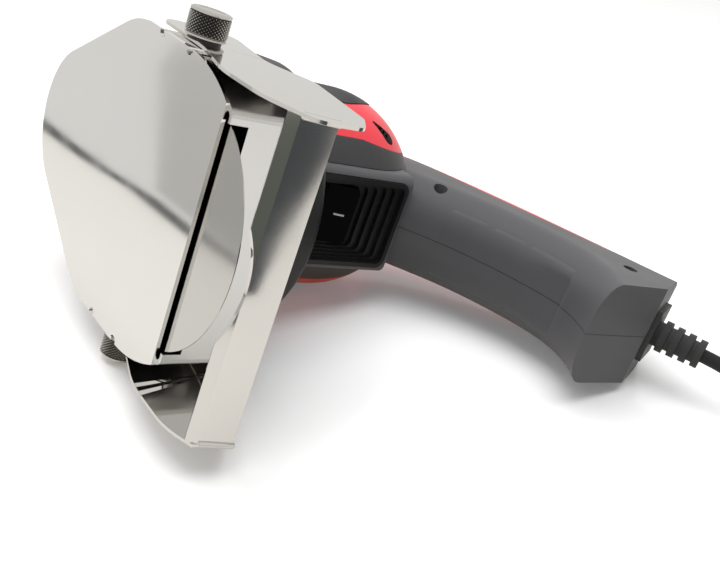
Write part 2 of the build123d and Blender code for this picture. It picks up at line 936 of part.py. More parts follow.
with BuildPart() as motor_fan:
    fan_start = motor_end + sheet
    with BuildSketch(across_at(motor_place, fan_start)):
        Circle(fan_radius)
        Circle(shaft_bore, mode=Mode.SUBTRACT)
    extrude(amount=-fan_plate)
    fan_blade_start = (shaft_bore + fan_hub_radius) / 2
    fan_blade_end = fan_radius - fan_blade_thickness / 2
    with BuildSketch(across_at(motor_place, fan_start + fan_plate)):
        with PolarLocations((fan_blade_start + fan_blade_end) / 2, fan_blades):
            Rectangle(fan_blade_end - fan_blade_start, fan_blade_thickness)
        Circle(fan_hub_radius)
        Circle(shaft_bore, mode=Mode.SUBTRACT)
    extrude(amount=-fan_depth)

with BuildPart() as motor_screws:
    with BuildSketch(across_at(motor_place, plate_start - screw_head_height)):
        with Locations((0, motor_screw_spread), (0, -motor_screw_spread)):
            Circle(screw_head_radius)
    extrude(amount=-screw_head_height)
    with BuildSketch(across_at(motor_place, plate_start)):
        with Locations((0, motor_screw_spread), (0, -motor_screw_spread)):
            Circle(screw_radius)
    extrude(amount=-plate_thickness - 2 * motor_wall)


def dome_form(radius, front, back):
    """Barrel with a domed end about the motor's line, from a front depth to a dome's start."""
    with BuildPart() as form:
        with BuildSketch(Plane.XY):
            with BuildLine():
                Polyline(
                    [
                        (motor_place, back + radius),
                        (motor_place, front),
                        (motor_place + radius, front),
                        (motor_place + radius, back),
                    ]
                )
                TangentArc((motor_place + radius, back), (motor_place, back + radius), tangent=(0, 1))
            make_face()
        revolve(axis=axis_at(motor_place))
    return form.part


def bevel_outline(start, low, end, high, grow):
    """Area of the side view that a bevel of the butt takes away."""
    along = end - start
    rise = high - low
    shift = grow * hypot(along, rise) / abs(rise)
    with BuildSketch() as outline:
        with BuildLine():
            Polyline(
                [
                    (start - along / 2 + shift, low - rise / 2),
                    (end + shift, high),
                    (end + along, high),
                    (end + along, low - rise / 2),
                ],
                close=True,
            )
        make_face()
    return outline.sketch


def grip_form(grow):
    """Handle with its root block, grown all round by a thickness, or shrunk if it is negative."""
    with BuildPart() as form:
        stations = [
            (butt_length * along, spine_height * low, spine_height * high)
            for along, low, high in grip_section_shares
        ]
        for index, (along, low, high) in enumerate(stations):
            place = along
            if index == 0:
                place = along - 2 * abs(grow)
            if index == len(stations) - 1:
                place = along + grow
            with BuildSketch(handle_plane(place)):
                with Locations(((low + high) / 2, 0)):
                    RectangleRounded(
                        high - low + 2 * grow,
                        2 * (grip_half_width + grow),
                        grip_half_width * grip_round_share + grow,
                    )
        loft()
        with BuildSketch(side_plane(-grip_half_width - overrun)):
            add(bevel_outline(butt_front_start, butt_front_low, butt_length, butt_front_high, grow))
            add(bevel_outline(butt_back_start, butt_back_low, butt_length, butt_back_high, grow))
        extrude(amount=2 * (grip_half_width + overrun), mode=Mode.SUBTRACT)
        inner_reach = root_face + grow - root_back + 2 * abs(grow)
        with BuildSketch(across(bell_rear - grow)):
            with Locations((root_face + grow - inner_reach / 2, 0)):
                Rectangle(inner_reach, 2 * (root_half_width + grow))
                outer_corners = vertices().group_by(Axis.X)[-1]
            fillet(outer_corners, root_corner + grow)
        extrude(amount=bell_rear - root_end - 2 * grow)
    return form.part


outer_grip = grip_form(0)
inner_grip = grip_form(-shell_wall)
grown_grip = grip_form(running_gap)
boss_places = [(root_boss_place, root_boss_height), (butt_boss_place, butt_boss_height)]
stand_places = [
    (board_place - board_length / 3, board_height),
    (board_place + board_length / 3, board_height),
    (terminal_place, relief_height),
]
clamp_screw_places = [
    (clamp_place, relief_height - clamp_screw_spread),
    (clamp_place, relief_height + clamp_screw_spread),
]

# Room for the motor and fan inside the shells
with BuildPart() as motor_space:
    with BuildSketch(across_at(motor_place, plate_end)):
        Circle(fan_radius + motor_room)
    extrude(amount=plate_end - motor_end - motor_shaft_overhang - motor_room)



def red_zone(gap):
    """Space of the red shells: the back of the handle as far as the butt, and all beyond the root."""
    with BuildPart() as zone:
        with BuildSketch(side_plane(-root_half_width - overrun)):
            with Locations((0, spine_height + gap)):
                Rectangle(spine_end - gap, spine_height, align=(Align.MIN, Align.MIN))
                Rectangle(spine_end, spine_height, align=(Align.MAX, Align.MIN))
        extrude(amount=2 * (root_half_width + overrun))
        with BuildSketch(Plane.XY.offset(-root_half_width - overrun)):
            with Locations((root_seam - gap, 0)):
                Rectangle(spine_height, 2 * spine_height, align=(Align.MAX, Align.CENTER))
        extrude(amount=2 * (root_half_width + overrun))
    return zone.part


full_red_zone = red_zone(0)
# Opening for the switch in the face of the root
frame_top = root_face + switch_ridge_proud
frame_bottom = root_face - switch_steps * switch_step_depth - switch_floor
opening_start = switch_start + switch_ridge + (switch_steps - 1) * switch_step_front
opening_end = switch_end - switch_ridge - (switch_steps - 1) * switch_step_rear
opening_half = switch_half_width - switch_ridge - (switch_steps - 1) * switch_step_side


def switch_outline(start, end, half, corner):
    """Rounded opening in the face of the root, between two depths."""
    with BuildSketch() as outline:
        with Locations(((start + end) / 2, 0)):
            RectangleRounded(end - start, 2 * half, corner)
    return outline.sketch


# Black grip, made whole and then parted into two shells
with BuildPart() as whole_grip:
    add(outer_grip)
    add(inner_grip, mode=Mode.SUBTRACT)
    with BuildSketch(side_plane(-grip_half_width)):
        with Locations(*boss_places):
            Circle(boss_hole_radius + boss_wall)
    extrude(amount=2 * grip_half_width)
    with BuildSketch(side_plane(-grip_half_width)):
        with Locations(*stand_places):
            Circle(stand_radius)
    extrude(amount=grip_half_width - board_drop)
    with BuildSketch(side_plane(-grip_half_width)):
        with Locations(*clamp_screw_places):
            Circle(stand_radius)
    extrude(amount=grip_half_width)
    add(outer_grip, mode=Mode.INTERSECT)
    add(full_red_zone, mode=Mode.SUBTRACT)
    add(motor_space.part, mode=Mode.SUBTRACT)
    with BuildSketch(side_plane(boss_floor)):
        with Locations(*boss_places):
            Circle(boss_hole_radius)
    extrude(amount=grip_half_width, mode=Mode.SUBTRACT)
    with BuildSketch(side_plane(-2 * boss_floor)):
        with Locations(*boss_places):
            Circle(screw_radius + bearing_gap)
    extrude(amount=3 * boss_floor, mode=Mode.SUBTRACT)
    with BuildSketch(Plane.YZ.offset(frame_bottom - running_gap)):
        add(
            switch_outline(
                switch_start - running_gap,
                switch_end + running_gap,
                switch_half_width + running_gap,
                switch_corner + running_gap,
            )
        )
    extrude(amount=frame_top - frame_bottom + overrun, mode=Mode.SUBTRACT)
    with BuildSketch(handle_plane(butt_length - shell_wall - overrun, relief_height)):
        Circle(relief_neck_radius + running_gap)
    extrude(amount=shell_wall + 2 * overrun, mode=Mode.SUBTRACT)
    finger_line = spine_height * finger_front_share - finger_hollow_radius
    hollow_places = [(finger_first + finger_pitch * number, finger_line) for number in range(finger_hollows)]
    with BuildSketch(side_plane(-grip_half_width)):
        with Locations(*hollow_places):
            Circle(finger_hollow_radius + finger_hollow_depth)
    extrude(amount=2 * grip_half_width, mode=Mode.SUBTRACT)

with BuildPart() as grip_upper:
    add(whole_grip.part)
    split(bisect_by=Plane.XY, keep=Keep.TOP)

with BuildPart() as grip_lower:
    add(whole_grip.part)
    split(bisect_by=Plane.XY, keep=Keep.BOTTOM)


def pad_outline(grow):
    """Leaf-shaped outline of a side pad from above, pointed towards the end of the dome."""
    half = pad_half_width + grow
    with BuildSketch() as outline:
        with BuildLine():
            Line((motor_place, pad_start - grow), (motor_place + half, pad_start - grow))
            Line((motor_place + half, pad_start - grow), (motor_place + half, pad_straight_end))
            TangentArc((motor_place + half, pad_straight_end), (motor_place, pad_tip + grow), tangent=(0, 1))
            mirror(about=Plane(origin=(motor_place, 0, 0), z_dir=(1, 0, 0)))
        make_face()
    return outline.sketch


def vent_plane(up, lift):
    """Plane parallel to the dome at a vent, lifted from it, its first axis along the vent."""
    outward = Vector(vent_reach, vent_back, up * vent_height).normalized()
    along = Vector(vent_run, vent_run_back, -up * vent_drop)
    along = along - outward * along.dot(outward)
    centre = Vector(motor_place, shell_dome_start, 0) + outward * (shell_radius + lift)
    return Plane(origin=centre, x_dir=along, z_dir=outward)


def vent_outline(grow):
    """Teardrop outline of a vent, blunt towards the handle."""
    with BuildSketch() as outline:
        with Locations((vent_length / 2 - vent_blunt_radius, 0)):
            Circle(vent_blunt_radius + grow)
        with Locations((vent_tip_radius - vent_length / 2, 0)):
            Circle(vent_tip_radius + grow)
        make_hull()
    return outline.sketch


# Recess of the pads in the red shells
with BuildPart() as pad_recess:
    for up in (1, -1):
        with BuildSketch(Plane.XY.offset(up * grip_half_width)):
            add(pad_outline(running_gap))
        extrude(amount=up * shell_radius)
    recess_floor = shell_radius - pad_inset - running_gap
    add(dome_form(recess_floor, shell_front - overrun, shell_dome_start), mode=Mode.SUBTRACT)

# Red shells: barrel and dome with the spine of the handle, parted like the grip
dome_hollow = dome_form(shell_radius - shell_wall, shell_front + shell_wall, shell_dome_start)
with BuildPart() as whole_shell:
    add(dome_form(shell_radius, shell_front, shell_dome_start))
    add(dome_hollow, mode=Mode.SUBTRACT)
    add(grown_grip - red_zone(running_gap), mode=Mode.SUBTRACT)
    with BuildSketch(across(shell_front - overrun)):
        with Locations((root_back, 0)):
            Rectangle(-2 * root_back, 2 * (root_half_width + running_gap), align=(Align.MIN, Align.CENTER))
    extrude(amount=shell_front - root_end - overrun, mode=Mode.SUBTRACT)
    add((outer_grip - inner_grip - dome_hollow) & red_zone(running_gap))
    add(motor_space.part, mode=Mode.SUBTRACT)
    add(pad_recess.part, mode=Mode.SUBTRACT)
    for up in (1, -1):
        with BuildSketch(vent_plane(up, overrun)):
            add(vent_outline(running_gap))
        extrude(amount=-shell_wall - 2 * overrun, mode=Mode.SUBTRACT)

with BuildPart() as upper_shell:
    add(whole_shell.part)
    split(bisect_by=Plane.XY, keep=Keep.TOP)

with BuildPart() as lower_shell:
    add(whole_shell.part)
    split(bisect_by=Plane.XY, keep=Keep.BOTTOM)

with BuildPart() as dome_pads:
    for up in (1, -1):
        with BuildSketch(Plane.XY.offset(up * grip_half_width)):
            add(pad_outline(0))
        extrude(amount=up * shell_radius)
    add(dome_form(shell_radius + pad_proud, shell_front, shell_dome_start), mode=Mode.INTERSECT)
    add(dome_form(shell_radius - pad_inset, shell_front - overrun, shell_dome_start), mode=Mode.SUBTRACT)

with BuildPart() as vent_inserts:
    for up in (1, -1):
        with BuildSketch(vent_plane(up, overrun)):
            add(vent_outline(0))
        extrude(amount=-shell_wall - 2 * overrun)
    add(dome_form(shell_radius, shell_front, shell_dome_start), mode=Mode.INTERSECT)
    add(dome_form(shell_radius - shell_wall, shell_front - overrun, shell_dome_start), mode=Mode.SUBTRACT)
    for up in (1, -1):
        with BuildSketch(vent_plane(up, overrun)):
            with GridLocations(2 * vent_slot_width, 0, vent_slots, 1):
                Rectangle(vent_slot_width, 2 * vent_tip_radius + vent_slot_width)
        extrude(amount=-shell_wall - 2 * overrun, mode=Mode.SUBTRACT)

# Switch frame: a ridge round a pocket that steps down to the rocker
with BuildPart() as switch_frame:
    with BuildSketch(Plane.YZ.offset(frame_bottom)):
        add(switch_outline(switch_start, switch_end, switch_half_width, switch_corner))
    extrude(amount=frame_top - frame_bottom)
    for step in range(switch_steps):
        with BuildSketch(Plane.YZ.offset(root_face - (step + 1) * switch_step_depth)):
            add(
                switch_outline(
                    switch_start + switch_ridge + step * switch_step_front,
                    switch_end - switch_ridge - step * switch_step_rear,
                    switch_half_width - switch_ridge - step * switch_step_side,
                    switch_corner - switch_ridge,
                )
            )
        extrude(amount=(step + 1) * switch_step_depth + overrun, mode=Mode.SUBTRACT)
    with BuildSketch(Plane.YZ.offset(frame_bottom - overrun)):
        add(switch_outline(opening_start, opening_end, opening_half, switch_corner - switch_ridge))
    extrude(amount=switch_floor + 2 * overrun, mode=Mode.SUBTRACT)
    rocker_axis_face = frame_bottom + switch_floor - rocker_dip / 2
    rocker_axis_depth = (opening_start + opening_end) / 2
    pin_reach = opening_half - rocker_play + rocker_pin_length
    with BuildSketch(Plane.XY.offset(-pin_reach - rocker_play)):
        with Locations((rocker_axis_face, rocker_axis_depth)):
            Circle(rocker_pin_radius + bearing_gap)
    extrude(amount=2 * (pin_reach + rocker_play), mode=Mode.SUBTRACT)

# Rocker: it tips about two pins, and its rear half stands up when the tool is off
with BuildPart() as rocker:
    tilt = radians(rocker_tilt)
    rocker_half = (opening_end - opening_start) / 2 - 2 * rocker_play
    rocker_side = opening_half - rocker_play
    rocker_plane = Plane(
        origin=(rocker_axis_face, rocker_axis_depth, rocker_side),
        x_dir=(sin(tilt), cos(tilt), 0),
        z_dir=(0, 0, -1),
    )
    with BuildSketch(rocker_plane):
        with BuildLine():
            Polyline(
                [
                    (-rocker_half, -rocker_drop),
                    (-rocker_half, rocker_rise),
                    (0, rocker_dip),
                    (rocker_half, rocker_rise),
                    (rocker_half, -rocker_drop),
                ],
                close=True,
            )
        make_face()
    extrude(amount=2 * rocker_side)
    upright = Axis((0, 0, 0), rocker_plane.y_dir)
    fillet(edges().filter_by(upright), switch_corner - switch_ridge)
    with BuildSketch(Plane.XY.offset(-pin_reach)):
        with Locations((rocker_axis_face, rocker_axis_depth)):
            Circle(rocker_pin_radius)
    extrude(amount=2 * pin_reach)

with BuildPart() as switch_body:
    body_top = frame_bottom
    with BuildSketch(Plane.YZ.offset(body_top - switch_body_depth)):
        with Locations((rocker_axis_depth, 0)):
            Rectangle(opening_end - opening_start, 2 * opening_half)
    extrude(amount=switch_body_depth)
    with BuildSketch(Plane.YZ.offset(body_top - rocker_drop - sheet)):
        with Locations((rocker_axis_depth, 0)):
            Rectangle(opening_end - opening_start - 2 * sheet, 2 * (opening_half - sheet))
    extrude(amount=switch_body_depth, mode=Mode.SUBTRACT)

with BuildPart() as switch_tabs:
    with BuildSketch(across(opening_end)):
        for up in (-1, 1):
            with Locations((body_top - switch_body_depth + sheet, up * opening_half / 2)):
                Rectangle(switch_tab_thickness, switch_tab_width)
    extrude(amount=-switch_tab_length)

# Rectifier board on two stands, with its capacitor and rectifier
board_top = -board_drop + board_thickness
with BuildPart() as circuit_board:
    with BuildSketch(side_plane(-board_drop)):
        with Locations((board_place, board_height)):
            Rectangle(board_length, board_width)
    extrude(amount=board_thickness)

with BuildPart() as board_parts:
    with BuildSketch(side_plane(board_top)):
        with Locations((board_place - board_length / 4, board_height)):
            Circle(capacitor_radius)
    extrude(amount=capacitor_length)
    with BuildSketch(side_plane(board_top)):
        with Locations((board_place + board_length / 4, board_height)):
            Rectangle(rectifier_thickness, rectifier_size)
    extrude(amount=rectifier_size)

with BuildPart() as terminal_block:
    with BuildSketch(side_plane(-board_drop)):
        with Locations((terminal_place, relief_height)):
            Rectangle(terminal_length, terminal_width)
    extrude(amount=terminal_height)
    with BuildSketch(side_plane(-board_drop + terminal_height - stand_radius)):
        with Locations((terminal_place, relief_height)):
            with GridLocations(terminal_length / 2, terminal_width / 2, 2, 2):
                Circle(screw_radius)
    extrude(amount=stand_radius, mode=Mode.SUBTRACT)

with BuildPart() as cord_clamp:
    with BuildSketch(side_plane(0)):
        with Locations((clamp_place, relief_height)):
            Rectangle(clamp_length, clamp_width)
    extrude(amount=clamp_height)
    with BuildSketch(handle_plane(clamp_place - clamp_length, relief_height)):
        Circle(lead_radius + bearing_gap)
    extrude(amount=2 * clamp_length, mode=Mode.SUBTRACT)

with BuildPart() as clamp_screws:
    with BuildSketch(side_plane(clamp_height)):
        with Locations(*clamp_screw_places):
            Circle(screw_head_radius)
    extrude(amount=screw_head_height)

# Screws that hold the two halves of the grip, deep in their holes
with BuildPart() as housing_screws:
    with BuildSketch(side_plane(boss_floor)):
        with Locations(*boss_places):
            Circle(boss_hole_radius - running_gap)
    extrude(amount=screw_head_height)
    with BuildSketch(side_plane(-boss_floor)):
        with Locations(*boss_places):
            Circle(screw_radius)
    extrude(amount=2 * boss_floor)

# Strain relief: a square flange on the butt and a tapered sleeve with grooves
relief_plane = Plane(
    origin=handle_point(butt_length, relief_height),
    x_dir=side_plane(0).x_dir,
    z_dir=(0, 0, 1),
)
relief_start = relief_flange_thickness
relief_end = relief_flange_thickness + relief_length
with BuildPart() as strain_relief:
    ring_pitch = relief_length / relief_rings
    outline = [(-shell_wall - sheet, 0), (-shell_wall - sheet, relief_neck_radius)]
    outline += [(relief_start, relief_neck_radius)]
    for ring in range(relief_rings):
        share = ring / relief_rings
        radius = relief_root_radius + (relief_tip_radius - relief_root_radius) * share
        ring_start = relief_start + ring * ring_pitch
        outline += [
            (ring_start, radius - relief_groove_depth),
            (ring_start + relief_groove_width, radius - relief_groove_depth),
            (ring_start + relief_groove_width, radius),
            (ring_start + ring_pitch, radius),
        ]
    outline += [(relief_end, 0)]
    with BuildSketch(relief_plane):
        with BuildLine():
            Polyline(outline, close=True)
        make_face()
    revolve(axis=Axis(relief_plane.origin, relief_plane.x_dir))
    with BuildSketch(handle_plane(butt_length, relief_height)):
        RectangleRounded(relief_flange, relief_flange, relief_corner)
    extrude(amount=relief_flange_thickness)
    with BuildSketch(handle_plane(butt_length - 2 * overrun, relief_height)):
        Circle(lead_radius + bearing_gap)
    extrude(amount=relief_end + 4 * overrun, mode=Mode.SUBTRACT)

# Lead inside the handle, from the terminal block to the mouth of the strain relief
with BuildPart() as inner_lead:
    lead_start = terminal_place + terminal_length / 2
    with BuildSketch(handle_plane(lead_start, relief_height)):
        Circle(lead_radius)
    extrude(amount=butt_length + relief_end - lead_start)

pieces = {
    "front_cover": front_cover,
    "blade": blade,
    "blade_screw": blade_screw,
    "blade_flange": blade_flange,
    "spindle": spindle,
    "spindle_bearings": spindle_bearings,
    "spindle_gear": spindle_gear,
    "idler_gear": idler_gear,
    "idler_pin": idler_pin,
    "blade_housing": blade_housing,
    "bearing_carrier": bearing_carrier,
    "carrier_bolts": carrier_bolts,
    "gear_plate": gear_plate,
    "gearbox_housing": gearbox_housing,
    "depth_guide": depth_guide,
    "thumb_screw_top": thumb_screws[0],
    "thumb_screw_bottom": thumb_screws[1],
    "thumb_washers": thumb_washers,
    "clamp_nuts": clamp_nuts,
    "motor_can": motor_can,
    "motor_magnets": motor_magnets,
    "motor_rotor": motor_rotor,
    "motor_pinion": motor_pinion,
    "motor_end_cap": motor_end_cap,
    "motor_bushes": motor_bushes,
    "carbon_brushes": carbon_brushes,
    "motor_fan": motor_fan,
    "motor_screws": motor_screws,
    "upper_shell": upper_shell,
    "lower_shell": lower_shell,
    "dome_pads": dome_pads,
    "vent_inserts": vent_inserts,
    "grip_upper": grip_upper,
    "grip_lower": grip_lower,
    "housing_screws": housing_screws,
    "switch_frame": switch_frame,
    "rocker": rocker,
    "switch_body": switch_body,
    "switch_tabs": switch_tabs,
    "circuit_board": circuit_board,
    "board_parts": board_parts,
    "terminal_block": terminal_block,
    "cord_clamp": cord_clamp,
    "clamp_screws": clamp_screws,
    "strain_relief": strain_relief,
    "inner_lead": inner_lead,
}

# The tool lies on its side: its lowest point is on the table and its middle over the origin
turned_over = Location((0, 0, 0), (lying_pitch, lying_roll, 0))
boxes = [piece.part.moved(turned_over).bounding_box() for piece in pieces.values()]
low = [min(getattr(box.min, axis) for box in boxes) for axis in "XYZ"]
high = [max(getattr(box.max, axis) for box in boxes) for axis in "XYZ"]
lying = Location((-(low[0] + high[0]) / 2, -(low[1] + high[1]) / 2, -low[2])) * turned_over

os.makedirs("parts", exist_ok=True)
for name, piece in pieces.items():
    laid = piece.part.moved(lying)
    laid.label = name
    export_step(laid, "parts/" + name + ".step")


def laid_point(x, y, z):
    """A point of the tool where it lies on the table."""
    return (lying * Location((x, y, z))).position


# Mains lead from the strain relief down to the table, where its coil begins
lead_turns = [(154.5, 124.0, 9.8), (172.0, 123.0, lead_radius), (187.0, 123.0, lead_radius)]
mouth = laid_point(*handle_point(butt_length + relief_end, relief_height))
mouth_way = (mouth - laid_point(*handle_point(butt_length, relief_height))).normalized()
lead_route = [mouth, mouth + mouth_way * lead_first_run] + [Vector(*point) for point in lead_turns]


def bend_radii(route):
    """Radius of each bend of a route: as large as the shorter of its two runs allows."""
    radii = []
    for before, here, after in zip(route, route[1:], route[2:]):
        first, second = here - before, after - here
        turn = radians(first.get_angle(second))
        radii.append(bend_share * min(first.length, second.length) / tan(turn / 2))
    return radii


with BuildPart() as cord:
    lead_radii = bend_radii(lead_route)
    with BuildLine() as lead_line:
        FilletPolyline(*lead_route, radius=lead_radii)
    with BuildSketch(Plane(origin=mouth, z_dir=mouth_way)):
        Circle(lead_radius)
    lead_wire = lead_line.wires()[0]
    sweep(path=lead_wire)
lead_section = pi * lead_radius**2
print("bends of the lead", [round(radius, 1) for radius in lead_radii])
print("lead volume over section times length", cord.part.volume / (lead_section * lead_wire.length))


def coil_point(quarter):
    """Middle of the coiled lead after a number of quarter turns: in along the table, out on top."""
    inner_radius = coil_radius + coil_pitch * coil_quarters_each_way / 8
    if quarter <= coil_quarters_each_way:
        radius = inner_radius - coil_pitch * quarter / 4
    else:
        outward = quarter - coil_quarters_each_way
        inner_radius -= coil_pitch * coil_quarters_each_way / 4
        radius = inner_radius + coil_pitch * (outward + min(outward, 4) / 2) / 4
    climb = min(max((quarter - coil_quarters_each_way + coil_climb_quarters) / coil_climb_quarters, 0), 1)
    angle = (quarter - 1) * pi / 2
    height = lead_radius + coil_layer_rise * climb**2 * (3 - 2 * climb)
    return coil_centre + Vector(radius * cos(angle), radius * sin(angle), height)


def biarc(start, start_way, finish, finish_way):
    """Two arcs, smooth where they meet, between two points with given directions."""
    chord = finish - start
    ways = start_way + finish_way
    ahead = chord.dot(ways)
    spread = (4 - ways.dot(ways)) * chord.dot(chord)
    reach = chord.dot(chord) / (ahead + sqrt(ahead**2 + spread))
    near, far = start + start_way * reach, finish - finish_way * reach
    TangentArc(start, (near + far) / 2, tangent=start_way)
    TangentArc((near + far) / 2, finish, tangent=far - near)


lead_end = lead_route[-1]
coil_entry = lead_end + Vector(2 * lead_radius, 0, 0)
coil_outer_radius = coil_radius + coil_pitch * coil_quarters_each_way / 8
coil_centre = Vector(coil_entry.X, coil_entry.Y + coil_outer_radius, 0)
coil_quarters = 2 * coil_quarters_each_way
coil_knots = [coil_point(quarter) for quarter in range(coil_quarters + 1)]
coil_ways = [
    (coil_point(quarter + knot_share) - coil_point(quarter - knot_share)).normalized()
    for quarter in range(coil_quarters + 1)
]
coil_ways[0] = Vector(1, 0, 0)
coil_ways[-1] = Vector(-1, 0, 0)
tail_way = Vector(-1, 0, 0)
tail_start = coil_knots[-1] + tail_way * tail_straight
tail_end = tail_start + Vector(-tail_run, -tail_aside, plug_thickness / 2 - tail_start.Z)
coil_end = tail_end + tail_way * 2 * lead_radius

with BuildPart() as cord_coil:
    with BuildLine() as coil_line:
        Line(lead_end, coil_entry)
        for number in range(len(coil_knots) - 1):
            biarc(coil_knots[number], coil_ways[number], coil_knots[number + 1], coil_ways[number + 1])
        Line(coil_knots[-1], tail_start)
        biarc(tail_start, tail_way, tail_end, tail_way)
        Line(tail_end, coil_end)
    with BuildSketch(Plane(origin=lead_end, z_dir=(1, 0, 0))):
        Circle(lead_radius)
    coil_wire = coil_line.wires()[0]
    sweep(path=coil_wire)

coil_length = coil_wire.length
samples = [coil_wire @ (number / coil_samples) for number in range(coil_samples + 1)]
apart = int(coil_samples * coil_radius / coil_length)
nearest = min(
    (samples[one] - samples[other]).length
    for one in range(len(samples))
    for other in range(one + apart, len(samples))
)
print("least gap of the coil to itself", round(nearest - 2 * lead_radius, 2))
print("coil volume over section times length", cord_coil.part.volume / (lead_section * coil_length))
print("whole lead outside the tool", round(coil_length + lead_wire.length, 1))

# Flat two-pin plug that lies on the table beside the coil
plug_face_place = plug_sleeve_length + plug_taper_length + plug_face_length


def plug_plane(along):
    """Plane square to the plug, at a distance from where the lead goes in."""
    return Plane(origin=coil_end - Vector(along, 0, 0), x_dir=(0, 1, 0), z_dir=(-1, 0, 0))


with BuildPart() as plug:
    with BuildSketch(plug_plane(0)):
        Circle(plug_sleeve_radius)
    extrude(amount=plug_sleeve_length)
    for ring in range(plug_sleeve_rings):
        with BuildSketch(plug_plane(plug_sleeve_length * (ring + 0.5) / plug_sleeve_rings)):
            Circle(plug_sleeve_radius)
            Circle(plug_sleeve_radius - plug_groove_depth, mode=Mode.SUBTRACT)
        extrude(amount=plug_groove_width, mode=Mode.SUBTRACT)
    with BuildSketch(plug_plane(plug_sleeve_length)):
        RectangleRounded(plug_neck_width, plug_neck_thickness, plug_neck_thickness * plug_round_share)
    with BuildSketch(plug_plane(plug_sleeve_length + plug_taper_length)):
        RectangleRounded(plug_width, plug_thickness, plug_thickness * plug_round_share)
    loft()
    with BuildSketch(plug_plane(plug_sleeve_length + plug_taper_length)):
        RectangleRounded(plug_width, plug_thickness, plug_thickness * plug_round_share)
    extrude(amount=plug_face_length)

with BuildPart() as plug_pins:
    with BuildSketch(plug_plane(plug_face_place)):
        with Locations((-plug_pin_spread / 2, 0), (plug_pin_spread / 2, 0)):
            Circle(plug_pin_radius)
    extrude(amount=plug_pin_length)
    fillet(faces().sort_by(Axis.X)[:2].edges(), plug_pin_radius * plug_pin_round_share)

for name, piece in {"cord": cord, "cord_coil": cord_coil, "plug": plug, "plug_pins": plug_pins}.items():
    piece.part.label = name
    export_step(piece.part, "parts/" + name + ".step")
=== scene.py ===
from math import cos, pi, radians, sin

import bmesh
import bpy
from mathutils import Matrix, Vector
from mathutils.bvhtree import BVHTree


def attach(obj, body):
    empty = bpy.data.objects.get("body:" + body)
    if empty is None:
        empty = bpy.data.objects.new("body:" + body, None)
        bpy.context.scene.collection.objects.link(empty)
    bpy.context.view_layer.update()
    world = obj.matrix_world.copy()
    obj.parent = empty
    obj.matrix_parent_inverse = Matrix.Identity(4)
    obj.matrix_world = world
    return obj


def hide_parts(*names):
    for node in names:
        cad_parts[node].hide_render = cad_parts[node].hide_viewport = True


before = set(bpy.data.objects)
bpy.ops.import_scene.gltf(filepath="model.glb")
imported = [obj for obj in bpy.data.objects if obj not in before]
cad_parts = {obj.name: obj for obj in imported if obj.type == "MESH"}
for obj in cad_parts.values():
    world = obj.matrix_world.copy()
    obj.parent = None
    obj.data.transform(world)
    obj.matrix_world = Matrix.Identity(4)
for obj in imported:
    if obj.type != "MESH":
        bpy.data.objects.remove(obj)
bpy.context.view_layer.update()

# How the tool lies: its own axes run from the blade to the exposed edge, rearwards, and up
# through the plane that parts the shells. Lengths of the tool are in millimetres here.
LYING_PITCH = -14.31
LYING_ROLL = -0.54
BLADE_PLACE = (0.010925, -0.102239, 0.076142)
MM = 0.001
LYING = (
    Matrix.Translation(BLADE_PLACE)
    @ Matrix.Rotation(radians(LYING_PITCH), 4, "X")
    @ Matrix.Rotation(radians(LYING_ROLL), 4, "Y")
)
HANDLE_LEAN = 23.2


def laid(along, rearward, up):
    """A point of the tool, in millimetres, where it lies on the table."""
    return LYING @ (Vector((along, rearward, up)) * MM)


def laid_way(along, rearward, up):
    """A direction of the tool as it lies on the table."""
    return (LYING.to_3x3() @ Vector((along, rearward, up))).normalized()


def add_object(name, data):
    """A new object in the scene, made of a mesh, curve, lamp or camera."""
    added = bpy.data.objects.new(name, data)
    bpy.context.scene.collection.objects.link(added)
    return added


# Camera, as it stood for the photograph
CAMERA_PLACE = (280.6, -160.8, 112.8)
CAMERA_RIGHT = (0.5647, 0.7585, 0.3253)
CAMERA_DOWN = (0.4693, 0.0291, -0.8826)
CAMERA_LENS = 45.0
CAMERA_SENSOR = 36.0


def set_up_camera():
    """Puts the camera where the photograph was taken from."""
    view = bpy.data.cameras.new("photo_view")
    view.lens = CAMERA_LENS
    view.sensor_width = CAMERA_SENSOR
    view.sensor_fit = "HORIZONTAL"
    view.clip_start = 0.01
    view.clip_end = 50
    camera = add_object("photo_view", view)
    right = laid_way(*CAMERA_RIGHT)
    up = -laid_way(*CAMERA_DOWN)
    turn = Matrix((right, up, right.cross(up))).transposed()
    camera.matrix_world = Matrix.Translation(laid(*CAMERA_PLACE)) @ turn.to_4x4()
    bpy.context.scene.camera = camera


# Mains lead: the same route as the solid, in millimetres, on the table's own axes
LEAD_RADIUS = 3.25
LEAD_MOUTH = (117.47, 110.935, 22.801)
LEAD_FIRST = (135.852, 118.612, 21.022)
LEAD_TURNS = [(154.5, 124.0, 9.8), (172.0, 123.0, LEAD_RADIUS), (187.0, 123.0, LEAD_RADIUS)]
COIL_RADIUS = 39.0
COIL_PITCH = 7.1
COIL_LAYER_RISE = 7.6
COIL_QUARTERS_EACH_WAY = 13
COIL_CLIMB_QUARTERS = 2
COIL_ENTRY = (193.5, 123.0)
COIL_POINTS_PER_QUARTER = 4
TAIL_STRAIGHT = 6.0
TAIL_RUN = 38.0
TAIL_ASIDE = 12.0
TAIL_REACH = 10.5
TAIL_HEIGHT = 6.85


